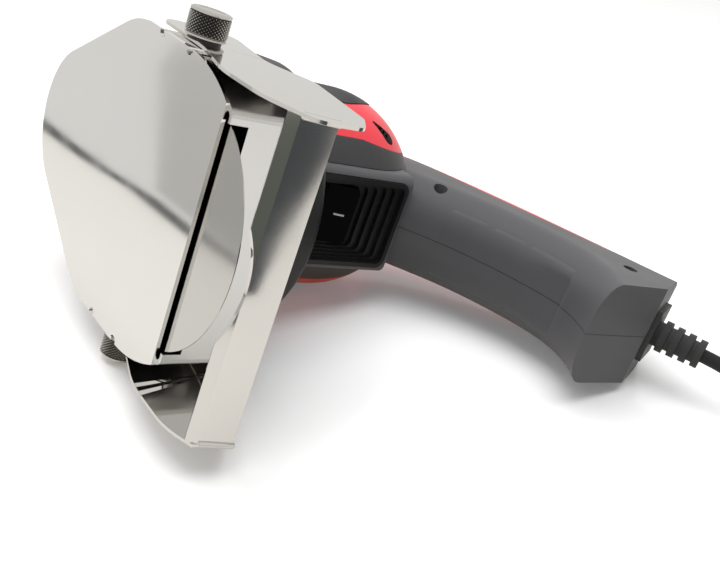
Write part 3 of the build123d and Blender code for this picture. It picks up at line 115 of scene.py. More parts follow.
def coil_point(quarter):
    """Middle of the coiled lead after a number of quarter turns: in along the table, out on top."""
    inner = COIL_RADIUS + COIL_PITCH * COIL_QUARTERS_EACH_WAY / 8
    centre = Vector((COIL_ENTRY[0], COIL_ENTRY[1] + inner, 0))
    if quarter <= COIL_QUARTERS_EACH_WAY:
        radius = inner - COIL_PITCH * quarter / 4
    else:
        outward = quarter - COIL_QUARTERS_EACH_WAY
        inner -= COIL_PITCH * COIL_QUARTERS_EACH_WAY / 4
        radius = inner + COIL_PITCH * (outward + min(outward, 4) / 2) / 4
    climb = (quarter - COIL_QUARTERS_EACH_WAY + COIL_CLIMB_QUARTERS) / COIL_CLIMB_QUARTERS
    climb = min(max(climb, 0), 1)
    angle = (quarter - 1) * pi / 2
    height = LEAD_RADIUS + COIL_LAYER_RISE * climb**2 * (3 - 2 * climb)
    return centre + Vector((radius * cos(angle), radius * sin(angle), height))


def lead_points():
    """Control points of the lead from the strain relief to the plug, in millimetres."""
    points = [Vector(LEAD_MOUTH), Vector(LEAD_FIRST)] + [Vector(turn) for turn in LEAD_TURNS]
    steps = 2 * COIL_QUARTERS_EACH_WAY * COIL_POINTS_PER_QUARTER
    points += [coil_point(step / COIL_POINTS_PER_QUARTER) for step in range(steps + 1)]
    start = points[-1] - Vector((TAIL_STRAIGHT, 0, 0))
    end = Vector((start.x - TAIL_RUN, start.y - TAIL_ASIDE, TAIL_HEIGHT))
    reach = Vector((TAIL_REACH, 0, 0))
    points += [start, start - reach, (start + end) / 2, end + reach, end]
    points.append(end - Vector((2 * LEAD_RADIUS, 0, 0)))
    return points


def make_lead(sheath):
    """The mains lead as one smooth line with a round section."""
    line = bpy.data.curves.new("mains_lead", "CURVE")
    line.dimensions = "3D"
    line.bevel_depth = LEAD_RADIUS * MM
    line.bevel_resolution = 5
    line.resolution_u = 6
    line.use_fill_caps = True
    run = line.splines.new("NURBS")
    points = lead_points()
    run.points.add(len(points) - 1)
    for place, point in zip(run.points, points):
        place.co = (*(point * MM), 1)
    run.order_u = 3
    run.use_endpoint_u = True
    lead = add_object("mains_lead", line)
    line.materials.append(sheath)
    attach(lead, "housing")
    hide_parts("cord", "cord_coil")


# Thumb screws: where they stand, and their heads with a diamond knurl
STUD_PLACE = (-24.0, 11.0)
KNOB_BASE = 63.4
KNOB_HEIGHT = 10.5
KNOB_CORE_RADIUS = 7.75
KNURL_RADIUS = 7.45
KNURL_COLUMNS = 30
KNURL_ROWS = 6
KNURL_START = 1.3
KNURL_PITCH = 1.3
TOOTH_HALF_WIDTH, TOOTH_HALF_HEIGHT = 0.79, 0.66
TOOTH_PROUD, TOOTH_SUNK = 0.72, 0.1
STUD_DROP = 14.6


# Finishes: each pattern is laid out on the tool's own axes, in metres
class Finish:
    """A surface finish: a shader, and the helpers that lay a pattern on it."""

    def __init__(self, name, colour, roughness, metallic=0.0, **sockets):
        self.material = bpy.data.materials.new(name)
        self.material.use_nodes = True
        self.tree = self.material.node_tree
        self.shader = self.tree.nodes["Principled BSDF"]
        self.set(self.shader, **{"Base Color": (*colour, 1), "Roughness": roughness, "Metallic": metallic})
        self.set(self.shader, **{key.replace("_", " "): value for key, value in sockets.items()})

    def set(self, node, **values):
        """Sets a node's sockets by name."""
        for key, value in values.items():
            node.inputs[key].default_value = value

    def node(self, kind, links=(), **values):
        """A new node with its sockets set and linked."""
        made = self.tree.nodes.new(kind)
        self.set(made, **values)
        for key, source in links:
            self.tree.links.new(source, made.inputs[key])
        return made

    def place(self, scale=(1, 1, 1)):
        """Coordinates on the tool's axes, from the middle of the blade, stretched by a scale."""
        where = self.tree.nodes.new("ShaderNodeTexCoord").outputs["Object"]
        on_tool = self.node("ShaderNodeMapping", [("Vector", where)])
        on_tool.vector_type = "TEXTURE"
        on_tool.inputs["Location"].default_value = laid(0, 0, 0)
        on_tool.inputs["Rotation"].default_value = LYING.to_3x3().to_euler()
        stretched = self.node("ShaderNodeMapping", [("Vector", on_tool.outputs[0])])
        stretched.inputs["Scale"].default_value = scale
        return stretched.outputs[0]

    def noise(self, scale, where, detail):
        """Soft noise of a scale, in cells a metre."""
        made = self.node("ShaderNodeTexNoise", [("Vector", where)], Scale=scale, Detail=detail)
        return made.outputs["Fac"]

    def spread(self, source, low, high, into=None, bottom=0.0, top=1.0):
        """Takes a value from one range to another, and into a socket of the shader if one is named."""
        made = self.node(
            "ShaderNodeMapRange",
            [("Value", source)],
            **{"From Min": low, "From Max": high, "To Min": bottom, "To Max": top},
        )
        if into is not None:
            self.tree.links.new(made.outputs[0], self.shader.inputs[into])
        return made.outputs[0]

    def blend(self, factor, first, second):
        """Colours the surface from the first tint to the second with a factor."""
        made = self.tree.nodes.new("ShaderNodeMix")
        made.data_type = "RGBA"
        made.inputs["A"].default_value = (*first, 1)
        made.inputs["B"].default_value = (*second, 1)
        self.tree.links.new(factor, made.inputs["Factor"])
        self.tree.links.new(made.outputs["Result"], self.shader.inputs["Base Color"])

    def bump(self, height, depth, strength):
        """Relief from a height pattern; depth in metres."""
        made = self.node("ShaderNodeBump", [("Height", height)], Distance=depth, Strength=strength)
        self.tree.links.new(made.outputs["Normal"], self.shader.inputs["Normal"])

    def maths(self, operation, first, second=None, number=None):
        """A sum of one source alone, of two, or of a source and a number."""
        made = self.node("ShaderNodeMath", [(0, first)])
        made.operation = operation
        if second is not None:
            self.tree.links.new(second, made.inputs[1])
        if number is not None:
            made.inputs[1].default_value = number
        return made.outputs[0]

    def length(self, first, second):
        """Distance from the axis that two coordinates are measured from."""
        flat = self.node("ShaderNodeCombineXYZ", [("X", first), ("Y", second)])
        made = self.node("ShaderNodeVectorMath", [("Vector", flat.outputs[0])])
        made.operation = "LENGTH"
        return made.outputs["Value"]


def rolled_steel(name, tint, roughness, grain_way, grain_depth=0.000004):
    """Polished sheet steel with a fine grain along one of the tool's axes."""
    steel = Finish(name, tint, roughness, 1.0)
    along, across = 25.0, 2600.0
    scale = [across, across, across]
    scale["XYZ".index(grain_way)] = along
    grain = steel.noise(1.0, steel.place(scale), 2.0)
    clouds = steel.noise(38.0, steel.place(), 4.0)
    steel.spread(clouds, 0.3, 0.7, "Roughness", roughness * 0.8, roughness * 1.3)
    steel.blend(clouds, [value * 0.96 for value in tint], tint)
    steel.bump(grain, grain_depth, 0.5)
    return steel.material


def ground_steel(name, tint, roughness):
    """Steel ground in rings about the blade's axis, which runs rearwards."""
    steel = Finish(name, tint, roughness, 1.0)
    where = steel.place()
    apart = steel.node("ShaderNodeSeparateXYZ", [("Vector", where)]).outputs
    rings = steel.node("ShaderNodeCombineXYZ", [("X", steel.length(apart["X"], apart["Z"]))])
    lines = steel.noise(3200.0, rings.outputs[0], 2.0)
    clouds = steel.noise(30.0, where, 3.0)
    steel.spread(lines, 0.3, 0.7, "Roughness", roughness * 0.8, roughness * 1.3)
    steel.blend(clouds, [value * 0.9 for value in tint], tint)
    steel.bump(lines, 0.000004, 0.4)
    return steel.material


def machined_metal(name, tint, roughness, cell=900.0, depth=0.00001):
    """Turned or cast metal with small marks and a little staining."""
    metal = Finish(name, tint, roughness, 1.0)
    where = metal.place()
    marks = metal.noise(cell, where, 4.0)
    stains = metal.noise(60.0, where, 4.0)
    metal.spread(stains, 0.3, 0.7, "Roughness", roughness * 0.8, roughness * 1.35)
    metal.blend(stains, [value * 0.8 for value in tint], tint)
    metal.bump(marks, depth, 0.6)
    return metal.material


# Painted shade in the grooves of the knurl: the share of the tint left below the crests.
GROOVE_PAINTED_SHADE = 0.08


def knurled_metal(name, tint, roughness):
    """Turned metal of the screw heads, with painted shade in the grooves of its diamond knurl."""
    metal = Finish(name, tint, roughness, 1.0)
    apart = metal.node("ShaderNodeSeparateXYZ", [("Vector", metal.place())]).outputs
    out = [metal.maths("SUBTRACT", apart[axis], number=place * MM) for axis, place in zip("XY", STUD_PLACE)]
    up = metal.maths("ABSOLUTE", apart["Z"])
    low = (KNOB_BASE + KNURL_START) * MM
    high = (KNOB_BASE + KNOB_HEIGHT - KNURL_START) * MM
    crest = metal.spread(metal.length(*out), (KNURL_RADIUS + 0.05) * MM, (KNURL_RADIUS + 0.5) * MM)
    below = metal.spread(up, low, low + 0.1 * MM, None, 1.0, 0.0)
    above = metal.spread(up, high - 0.1 * MM, high)
    # Painted shade: the knurled band darkens below its crests, while the rims and crests keep the tint.
    unshaded_share = metal.maths("MAXIMUM", metal.maths("MAXIMUM", below, above), crest)
    metal.blend(unshaded_share, [value * GROOVE_PAINTED_SHADE for value in tint], tint)
    return metal.material


def moulded_plastic(name, colour, roughness, cell=1500.0, depth=0.00002, worn=0.15, **sockets):
    """Moulded plastic with a fine texture, slightly paler where it is rubbed."""
    plastic = Finish(name, colour, roughness, **sockets)
    where = plastic.place()
    texture = plastic.noise(cell, where, 3.0)
    rubbed = plastic.noise(45.0, where, 4.0)
    plastic.spread(rubbed, 0.3, 0.75, "Roughness", roughness * 1.1, roughness * 0.85)
    plastic.blend(rubbed, colour, [value * (1 + worn) + worn * 0.01 for value in colour])
    plastic.bump(texture, depth, 0.7)
    return plastic.material


SEAM_HALF, SEAM_EDGE = 0.08, 0.35
CHEEK_REAR, CHEEK_HALF_HEIGHT = (103.0, 134.0), (35.7, 31.0)
CHEEK_FRONT, CHEEK_END = -39.0, 145.0
CHEEK_ROUGHNESS = 0.46


def grip_plastic(name, colour, roughness):
    """Soft matt plastic of the handle, with the fine line where its two halves meet."""
    plastic = Finish(name, colour, roughness, Specular_IOR_Level=0.4, Sheen_Weight=0.08)
    where = plastic.place()
    height = plastic.node("ShaderNodeSeparateXYZ", [("Vector", where)]).outputs["Z"]
    seam = plastic.spread(plastic.maths("ABSOLUTE", height), SEAM_HALF * MM, SEAM_EDGE * MM)
    texture = plastic.noise(2200.0, where, 2.0)
    hands = plastic.noise(35.0, where, 4.0)
    plastic.spread(hands, 0.3, 0.75, "Roughness", roughness * 1.12, roughness * 0.88)
    plastic.blend(seam, [value * 0.25 for value in colour], colour)
    relief = plastic.maths("ADD", plastic.maths("MULTIPLY", texture, number=0.12), seam)
    plastic.bump(relief, 0.00015, 0.5)
    return plastic.material


def shell_plastic(name, colour, roughness, cheek):
    """Glossy red of the shells; where the handle's root meets them it gives way to a black cheek."""
    plastic = Finish(name, colour, roughness)
    where = plastic.place()
    apart = plastic.node("ShaderNodeSeparateXYZ", [("Vector", where)]).outputs
    rear = [place * MM for place in CHEEK_REAR]
    half = [height * MM for height in CHEEK_HALF_HEIGHT]
    reach = plastic.spread(apart["Y"], *rear, None, *half)
    inside = plastic.maths("SUBTRACT", reach, plastic.maths("ABSOLUTE", apart["Z"]))
    below = plastic.spread(inside, 0.0, 0.3 * MM)
    front = plastic.spread(apart["X"], CHEEK_FRONT * MM, (CHEEK_FRONT + 0.5) * MM)
    ahead = plastic.spread(apart["Y"], (CHEEK_END - 0.5) * MM, CHEEK_END * MM, None, 1.0, 0.0)
    share = plastic.maths("MULTIPLY", plastic.maths("MULTIPLY", below, front), ahead)
    plastic.blend(share, colour, cheek)
    plastic.spread(share, 0.0, 1.0, "Roughness", roughness, CHEEK_ROUGHNESS)
    texture = plastic.noise(900.0, where, 3.0)
    plastic.bump(texture, 0.000008, 0.7)
    return plastic.material


def finishes():
    """Every finish of the tool, by the name of its material slot."""
    return {
        "cover_steel": rolled_steel("cover_steel", (0.80, 0.795, 0.78), 0.07, "Z"),
        "guide_steel": rolled_steel("guide_steel", (0.70, 0.685, 0.66), 0.08, "X"),
        "pan_steel": rolled_steel("pan_steel", (0.70, 0.70, 0.70), 0.20, "X"),
        "blade_steel": ground_steel("blade_steel", (0.62, 0.61, 0.59), 0.10),
        "nickel": machined_metal("nickel", (0.50, 0.485, 0.46), 0.22, 1500.0),
        "knurled_nickel": knurled_metal("knurled_nickel", (0.60, 0.585, 0.555), 0.25),
        "plated_steel": machined_metal("plated_steel", (0.62, 0.62, 0.60), 0.32),
        "gear_steel": machined_metal("gear_steel", (0.48, 0.48, 0.48), 0.30),
        "cast_alloy": machined_metal("cast_alloy", (0.62, 0.62, 0.63), 0.48, 700.0, 0.00005),
        "bronze": machined_metal("bronze", (0.55, 0.38, 0.20), 0.42),
        "contact_brass": machined_metal("contact_brass", (0.76, 0.60, 0.28), 0.30),
        "winding": machined_metal("winding", (0.60, 0.32, 0.16), 0.38),
        "dark_steel": moulded_plastic("dark_steel", (0.02, 0.02, 0.02), 0.42, 1800.0),
        "graphite": moulded_plastic("graphite", (0.05, 0.05, 0.055), 0.5, 1800.0),
        "ferrite": moulded_plastic("ferrite", (0.08, 0.08, 0.085), 0.6, 1200.0),
        "red_shell": shell_plastic("red_shell", (0.80, 0.035, 0.055), 0.30, (0.030, 0.030, 0.032)),
        "black_grip": grip_plastic("black_grip", (0.082, 0.082, 0.088), 0.48),
        "black_housing": moulded_plastic(
            "black_housing", (0.008, 0.008, 0.009), 0.40, 1400.0, Specular_IOR_Level=0.3
        ),
        "pad_rubber": moulded_plastic("pad_rubber", (0.020, 0.020, 0.021), 0.52, 1600.0),
        "switch_black": moulded_plastic(
            "switch_black", (0.0015, 0.0015, 0.0016), 0.22, 500.0, 0.000004, 0.0, Specular_IOR_Level=0.03
        ),
        "pale_plastic": moulded_plastic("pale_plastic", (0.75, 0.73, 0.68), 0.45),
        "grey_plastic": moulded_plastic("grey_plastic", (0.20, 0.20, 0.21), 0.45),
        "board_green": moulded_plastic("board_green", (0.02, 0.16, 0.06), 0.35),
        "board_part": moulded_plastic("board_part", (0.03, 0.04, 0.09), 0.35),
        "lead_sheath": moulded_plastic(
            "lead_sheath", (0.010, 0.010, 0.011), 0.42, 1300.0, Specular_IOR_Level=0.3
        ),
        "mark_white": moulded_plastic("mark_white", (0.62, 0.64, 0.72), 0.5),
    }


NODE_FINISHES = {
    "cover_steel": ["front_cover"],
    "guide_steel": ["depth_guide"],
    "pan_steel": ["blade_housing"],
    "blade_steel": ["blade"],
    "nickel": ["thumb_screw_top", "thumb_screw_bottom", "plug_pins"],
    "plated_steel": [
        "blade_screw", "carrier_bolts", "clamp_nuts", "motor_can", "motor_screws", "housing_screws",
        "clamp_screws",
    ],
    "gear_steel": [
        "blade_flange", "spindle", "spindle_bearings", "spindle_gear", "idler_gear", "idler_pin",
        "motor_pinion",
    ],
    "cast_alloy": ["bearing_carrier", "gear_plate"],
    "bronze": ["motor_bushes"],
    "contact_brass": ["switch_tabs"],
    "winding": ["motor_rotor"],
    "dark_steel": ["thumb_washers"],
    "graphite": ["carbon_brushes"],
    "ferrite": ["motor_magnets"],
    "red_shell": ["upper_shell", "lower_shell"],
    "black_grip": ["grip_upper", "grip_lower"],
    "black_housing": ["gearbox_housing", "switch_frame"],
    "pad_rubber": ["dome_pads", "strain_relief", "plug"],
    "switch_black": ["vent_inserts", "rocker"],
    "pale_plastic": ["terminal_block"],
    "grey_plastic": ["motor_end_cap", "motor_fan", "switch_body", "cord_clamp"],
    "board_green": ["circuit_board"],
    "board_part": ["board_parts"],
    "lead_sheath": ["inner_lead", "cord", "cord_coil"],
}


def dress_nodes(made):
    """Gives every solid of the frame its finish."""
    for finish, names in NODE_FINISHES.items():
        for name in names:
            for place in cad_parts[name].material_slots:
                place.material = made[finish]


# Detailed pieces, in the tool's own millimetres
GUIDE_EAR_INNER = 61.0


def join_shapes(name, finish, parts, smooth=40.0):
    """One object from lists of points, in tool millimetres, and faces; smooth up to an angle."""
    mesh = bpy.data.meshes.new(name)
    points, faces = [], []
    for some_points, some_faces in parts:
        start = len(points)
        points += [laid(*point) for point in some_points]
        faces += [[start + corner for corner in face] for face in some_faces]
    mesh.from_pydata(points, [], faces)
    mesh.materials.append(finish)
    made = bmesh.new()
    made.from_mesh(mesh)
    bmesh.ops.recalc_face_normals(made, faces=made.faces)
    made.to_mesh(mesh)
    made.free()
    mesh.set_sharp_from_angle(angle=radians(smooth))
    for face in mesh.polygons:
        face.use_smooth = True
    return add_object(name, mesh)


def prism(lower, upper):
    """Points and faces of a solid between two outlines with as many corners."""
    count = len(lower)
    sides = [[n, (n + 1) % count, (n + 1) % count + count, n + count] for n in range(count)]
    return lower + upper, [list(range(count)), list(range(count, 2 * count))] + sides


def turned(centre, base, side, outline, around=72):
    """Points and faces turned about an upright line of the tool: outline of radius and height."""
    points, faces = [], []
    for radius, height in outline:
        for number in range(around):
            angle = 2 * pi * number / around
            reach = (centre[0] + radius * cos(angle), centre[1] + radius * sin(angle))
            points.append((*reach, base + side * height))
    for ring in range(len(outline) - 1):
        for number in range(around):
            here, there = ring * around + number, ring * around + (number + 1) % around
            faces.append([here, there, there + around, here + around])
    faces.append(list(range(around)))
    faces.append(list(range((len(outline) - 1) * around, len(outline) * around)))
    return points, faces


def repeater():
    """Node group that sets copies of a small shape on points, by the ways stored on them."""
    tree = bpy.data.node_groups.new("set_on_points", "GeometryNodeTree")
    tree.interface.new_socket("Points", in_out="INPUT", socket_type="NodeSocketGeometry")
    tree.interface.new_socket("Shape", in_out="INPUT", socket_type="NodeSocketObject")
    tree.interface.new_socket("Finish", in_out="INPUT", socket_type="NodeSocketMaterial")
    tree.interface.new_socket("Copies", in_out="OUTPUT", socket_type="NodeSocketGeometry")
    start = tree.nodes.new("NodeGroupInput")
    shape = tree.nodes.new("GeometryNodeObjectInfo")
    turn = tree.nodes.new("FunctionNodeAxesToRotation")
    turn.primary_axis, turn.secondary_axis = "Z", "Y"
    setting = tree.nodes.new("GeometryNodeInstanceOnPoints")
    whole = tree.nodes.new("GeometryNodeRealizeInstances")
    dress = tree.nodes.new("GeometryNodeSetMaterial")
    end = tree.nodes.new("NodeGroupOutput")
    for name, socket in (("outward", "Primary Axis"), ("along", "Secondary Axis")):
        way = tree.nodes.new("GeometryNodeInputNamedAttribute")
        way.data_type = "FLOAT_VECTOR"
        way.inputs["Name"].default_value = name
        tree.links.new(way.outputs["Attribute"], turn.inputs[socket])
    tree.links.new(start.outputs["Shape"], shape.inputs["Object"])
    tree.links.new(start.outputs["Points"], setting.inputs["Points"])
    tree.links.new(shape.outputs["Geometry"], setting.inputs["Instance"])
    tree.links.new(turn.outputs["Rotation"], setting.inputs["Rotation"])
    tree.links.new(setting.outputs["Instances"], whole.inputs["Geometry"])
    tree.links.new(whole.outputs["Geometry"], dress.inputs["Geometry"])
    tree.links.new(start.outputs["Finish"], dress.inputs["Material"])
    tree.links.new(dress.outputs["Geometry"], end.inputs["Copies"])
    return tree


def set_copies(group, name, spots, shape_points, shape_faces, finish, body=None):
    """One mesh of copies of a shape on spots of (place, outward, along), joined with a body."""
    small = bpy.data.meshes.new(name + "_one")
    small.from_pydata([Vector(point) * MM for point in shape_points], [], shape_faces)
    pattern = add_object(name + "_one", small)
    points = bpy.data.meshes.new(name + "_spots")
    points.from_pydata([laid(*place) for place, outward, along in spots], [], [])
    for key, index in (("outward", 1), ("along", 2)):
        stored = points.attributes.new(key, "FLOAT_VECTOR", "POINT")
        for number, spot in enumerate(spots):
            stored.data[number].vector = laid_way(*spot[index])
    holder = add_object(name + "_spots", points)
    change = holder.modifiers.new("set_on_points", "NODES")
    change.node_group = group
    items = group.interface.items_tree
    named = {item.name: item.identifier for item in items if item.in_out == "INPUT"}
    change[named["Shape"]] = pattern
    change[named["Finish"]] = finish
    solved = holder.evaluated_get(bpy.context.evaluated_depsgraph_get())
    copies = bpy.data.meshes.new_from_object(solved)
    holder.modifiers.clear()
    made = bmesh.new()
    made.from_mesh(copies)
    if body is not None:
        made.from_mesh(body.data)
        bpy.data.objects.remove(body)
    copies.clear_geometry()
    made.to_mesh(copies)
    made.free()
    copies.materials.clear()
    copies.materials.append(finish)
    for spare in (holder, pattern):
        bpy.data.objects.remove(spare)
    return add_object(name, copies)


def make_thumb_screws(group, finish):
    """Two thumb screws whose heads have a diamond knurl between two smooth rims."""
    rim = KNOB_CORE_RADIUS + 0.25
    head = [
        (rim - 0.5, 0.0), (rim, 0.35), (rim, 1.0), (KNURL_RADIUS, 1.25),
        (KNURL_RADIUS, KNOB_HEIGHT - 1.5), (rim, KNOB_HEIGHT - 1.25), (rim, KNOB_HEIGHT - 0.75),
        (rim - 0.3, KNOB_HEIGHT - 0.35), (rim - 0.9, KNOB_HEIGHT - 0.08), (rim - 1.6, KNOB_HEIGHT),
        (5.2, KNOB_HEIGHT), (4.9, KNOB_HEIGHT - 0.25), (0.4, KNOB_HEIGHT - 0.3),
    ]
    stud = [(0.4, -STUD_DROP), (2.1, -STUD_DROP), (2.45, 0.4 - STUD_DROP), (2.45, 0.2)]
    wide, tall, low = TOOTH_HALF_WIDTH, TOOTH_HALF_HEIGHT, -TOOTH_SUNK
    tooth = [(wide, 0, low), (0, tall, low), (-wide, 0, low), (0, -tall, low), (0, 0, TOOTH_PROUD)]
    tooth_faces = [[0, 1, 4], [1, 2, 4], [2, 3, 4], [3, 0, 4]]
    for name, side in (("thumb_screw_top", 1), ("thumb_screw_bottom", -1)):
        base = side * KNOB_BASE
        parts = [turned(STUD_PLACE, base, side, head), turned(STUD_PLACE, base, side, stud, 32)]
        body = join_shapes(name + "_core", finish, parts, 25.0)
        spots = []
        for row in range(2 * KNURL_ROWS - 1):
            height = side * (KNOB_BASE + KNURL_START + KNURL_PITCH * (row + 1) / 2)
            for column in range(KNURL_COLUMNS):
                angle = 2 * pi * (column + row % 2 / 2) / KNURL_COLUMNS
                way = (cos(angle), sin(angle), 0)
                across = [middle + KNURL_RADIUS * part for middle, part in zip(STUD_PLACE, way)]
                spots.append(((*across, height), way, (0, 0, 1)))
        screw = set_copies(group, name + "_knurled", spots, tooth, tooth_faces, finish, body)
        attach(screw, name)
        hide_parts(name)


STRIP_LIP = (57.0, 4.0)
STRIP_REAR = (60.0, 16.6)
STRIP_THICKNESS = 1.5
BEAD_RIPPLES = 17
RIPPLE_RINGS, RIPPLE_AROUND = 4, 10
RIPPLE_HALF_LENGTH, RIPPLE_HALF_WIDTH, RIPPLE_HEIGHT, RIPPLE_SUNK = 1.25, 0.85, 1.15, 0.3


def make_weld_beads(group, finish):
    """Rippled weld beads in the corners between the strip of the guide and its two ears."""
    rings, around, ripple, faces = RIPPLE_RINGS, RIPPLE_AROUND, [], []
    for ring in range(rings):
        low = 0.5 * pi * ring / rings
        long, wide = RIPPLE_HALF_LENGTH * cos(low), RIPPLE_HALF_WIDTH * cos(low)
        for number in range(around):
            angle = 2 * pi * number / around
            ripple.append((long * cos(angle), wide * sin(angle), RIPPLE_HEIGHT * sin(low) - RIPPLE_SUNK))
    ripple.append((0, 0, RIPPLE_HEIGHT - RIPPLE_SUNK))
    for ring in range(rings - 1):
        for number in range(around):
            here, there = ring * around + number, ring * around + (number + 1) % around
            faces.append([here, there, there + around, here + around])
    last = (rings - 1) * around
    faces += [[last + number, last + (number + 1) % around, last + around] for number in range(around)]
    along = (STRIP_REAR[0] - STRIP_LIP[0], STRIP_REAR[1] - STRIP_LIP[1], 0)
    spots = []
    for side in (1, -1):
        for number in range(BEAD_RIPPLES):
            share = number / (BEAD_RIPPLES - 1)
            place = (
                STRIP_LIP[0] + STRIP_THICKNESS + along[0] * share,
                STRIP_LIP[1] + along[1] * share,
                side * (GUIDE_EAR_INNER - 0.15),
            )
            spots.append((place, (0.75, -0.18, -0.62 * side), along))
    beads = set_copies(group, "weld_beads", spots, ripple, faces, finish)
    for face in beads.data.polygons:
        face.use_smooth = True
    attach(beads, "guide")


ROCKER_MARK_PLACE = (-22.62, 100.4, -0.1)
ROCKER_MARK_WAY = (0.27, 0.963)
ROCKER_MARK_LENGTH, ROCKER_MARK_WIDTH = 5.6, 0.9
ROCKER_MARK_PROUD, ROCKER_MARK_SUNK = 0.07, 0.2


def make_rocker_mark(finish):
    """White dash, rounded at its ends, on the half of the rocker that is pressed to start."""
    along, out = ROCKER_MARK_WAY, (ROCKER_MARK_WAY[1], -ROCKER_MARK_WAY[0])
    half, round_end = ROCKER_MARK_LENGTH / 2, ROCKER_MARK_WIDTH / 2
    outline = []
    for side in (1, -1):
        for number in range(7):
            angle = side * pi / 2 - pi * number / 6
            centre = side * (half - round_end)
            outline.append((centre + round_end * cos(angle), round_end * sin(angle)))
    levels = []
    for lift in (-ROCKER_MARK_SUNK, ROCKER_MARK_PROUD):
        levels.append([
            (
                ROCKER_MARK_PLACE[0] + along[0] * run + out[0] * lift,
                ROCKER_MARK_PLACE[1] + along[1] * run + out[1] * lift,
                ROCKER_MARK_PLACE[2] + high,
            )
            for run, high in outline
        ])
    mark = join_shapes("start_mark", finish, [prism(*levels)], 30.0)
    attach(mark, "rocker")


EAR_OUTER = 62.2
EAR_TRIM = (27.5, 39.8)
PAST_EAR_FRONT, PAST_EAR_SIDE = -30, 110


def make_guide(finish):
    """The guide with its lower ear cut back flush with the strip, as in the photograph."""
    strip_front, strip_rear = STRIP_LIP[0] + STRIP_THICKNESS, STRIP_REAR[0] + STRIP_THICKNESS
    outline = [
        (strip_front, PAST_EAR_FRONT), (strip_front, STRIP_LIP[1]), (strip_rear, STRIP_REAR[1]),
        EAR_TRIM, (PAST_EAR_SIDE, EAR_TRIM[1]), (PAST_EAR_SIDE, PAST_EAR_FRONT),
    ]
    levels = [[(x, y, level) for x, y in outline] for level in (-EAR_OUTER - 3, -GUIDE_EAR_INNER + 0.02)]
    cutter = join_shapes("ear_cutter", finish, [prism(*levels)])
    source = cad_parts["depth_guide"]
    guide = add_object("bent_guide", source.data.copy())
    guide.matrix_world = source.matrix_world
    cut = guide.modifiers.new("ear_cut", "BOOLEAN")
    cut.operation = "DIFFERENCE"
    cut.solver = "EXACT"
    cut.object = cutter
    solved = guide.evaluated_get(bpy.context.evaluated_depsgraph_get())
    trimmed = bpy.data.meshes.new_from_object(solved)
    guide.modifiers.clear()
    guide.data = trimmed
    bpy.data.objects.remove(cutter)
    trimmed.transform(guide.matrix_world)
    guide.matrix_world = Matrix()
    trimmed.materials.clear()
    trimmed.materials.append(finish)
    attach(guide, "guide")
    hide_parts("depth_guide")


FINGER_START, FINGER_STEP, FINGER_COUNT = 66.0, 22.0, 3
FINGER_KNOTS = (50.0, 56.5, 76.0, 78.0, 97.0, 98.5, 122.5, 125.0, 128.0)
FINGER_SIDE, FINGER_HALF = 17.0, 9.0
FINGER_DIP = 0.35
WALL_START, WALL_END = 52.0, 127.0
WALL_DEPTH, WALL_PROUD, WALL_EDGE_SUNK = 1.0, 0.03, 0.08
WALL_STEPS, WALL_ROWS = 58, 25
UNDER_WALL = 90


def handle_point(along, high, up):
    """Point of the handle, which leans rearwards, on the tool's axes."""
    lean = radians(HANDLE_LEAN)
    return (along * cos(lean) - high * sin(lean), along * sin(lean) + high * cos(lean), up)


def wall_height(knots, heights, along):
    """Height of the grip's front between knots, on a smooth line through them."""
    last = len(knots) - 2
    here = max(0, min(last, sum(along >= knot for knot in knots) - 1))

    def slope(number):
        before, after = max(number - 1, 0), min(number + 1, last + 1)
        return (heights[after] - heights[before]) / (knots[after] - knots[before])

    run = knots[here + 1] - knots[here]
    share = (along - knots[here]) / run
    start, end = slope(here) * run, slope(here + 1) * run
    first, second = heights[here], heights[here + 1]
    return (
        first * (2 * share**3 - 3 * share**2 + 1)
        + second * (3 * share**2 - 2 * share**3)
        + start * (share**3 - 2 * share**2 + share)
        + end * (share**3 - share**2)
    )


def make_finger_wall(finish):
    """Front wall of the grip with three faint finger hollows, laid over the solid's deeper ones."""
    shells = []
    for name in ("grip_lower", "grip_upper"):
        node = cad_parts[name]
        solid = bmesh.new()
        solid.from_mesh(node.data)
        solid.transform(node.matrix_world)
        shells.append(BVHTree.FromBMesh(solid))
        solid.free()
    way = (Vector(laid(*handle_point(0, 1, 0))) - laid(0, 0, 0)).normalized()
    steps, rows = WALL_STEPS, WALL_ROWS
    outer, inner = [], []
    for row in range(rows):
        up = -FINGER_SIDE + 2 * FINGER_SIDE * row / (rows - 1)
        if abs(up) < 0.01:
            up = 0.02
        heights = []
        for knot in FINGER_KNOTS:
            start = laid(*handle_point(knot, UNDER_WALL, up))
            met = shells[up > 0].ray_cast(start, way)
            heights.append(UNDER_WALL + met[3] / MM)
        for step in range(steps):
            along = WALL_START + (WALL_END - WALL_START) * step / (steps - 1)
            high = wall_height(FINGER_KNOTS, heights, along)
            dip = 0.0
            for number in range(FINGER_COUNT):
                off = (along - FINGER_START - FINGER_STEP * number) / FINGER_HALF
                if abs(off) < 1:
                    dip += FINGER_DIP * cos(off * pi / 2) ** 2 * cos(up / FINGER_SIDE * pi / 2)
            edge = row in (0, rows - 1) or step in (0, steps - 1)
            lift = -WALL_EDGE_SUNK if edge else WALL_PROUD
            outer.append(handle_point(along, high + dip - lift, up))
            inner.append(handle_point(along, high + dip + WALL_DEPTH, up))
    faces, total = [], rows * steps
    for row in range(rows - 1):
        for step in range(steps - 1):
            here = row * steps + step
            patch = [here, here + 1, here + steps + 1, here + steps]
            faces += [patch, [total + corner for corner in patch]]
    rim = list(range(steps)) + [(row + 1) * steps - 1 for row in range(1, rows)]
    rim += [(rows - 1) * steps + step for step in range(steps - 2, -1, -1)]
    rim += [row * steps for row in range(rows - 2, 0, -1)]
    for here, there in zip(rim, rim[1:] + rim[:1]):
        faces.append([here, there, there + total, here + total])
    wall = join_shapes("finger_wall", finish, [(outer + inner, faces)], 60.0)
    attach(wall, "housing")
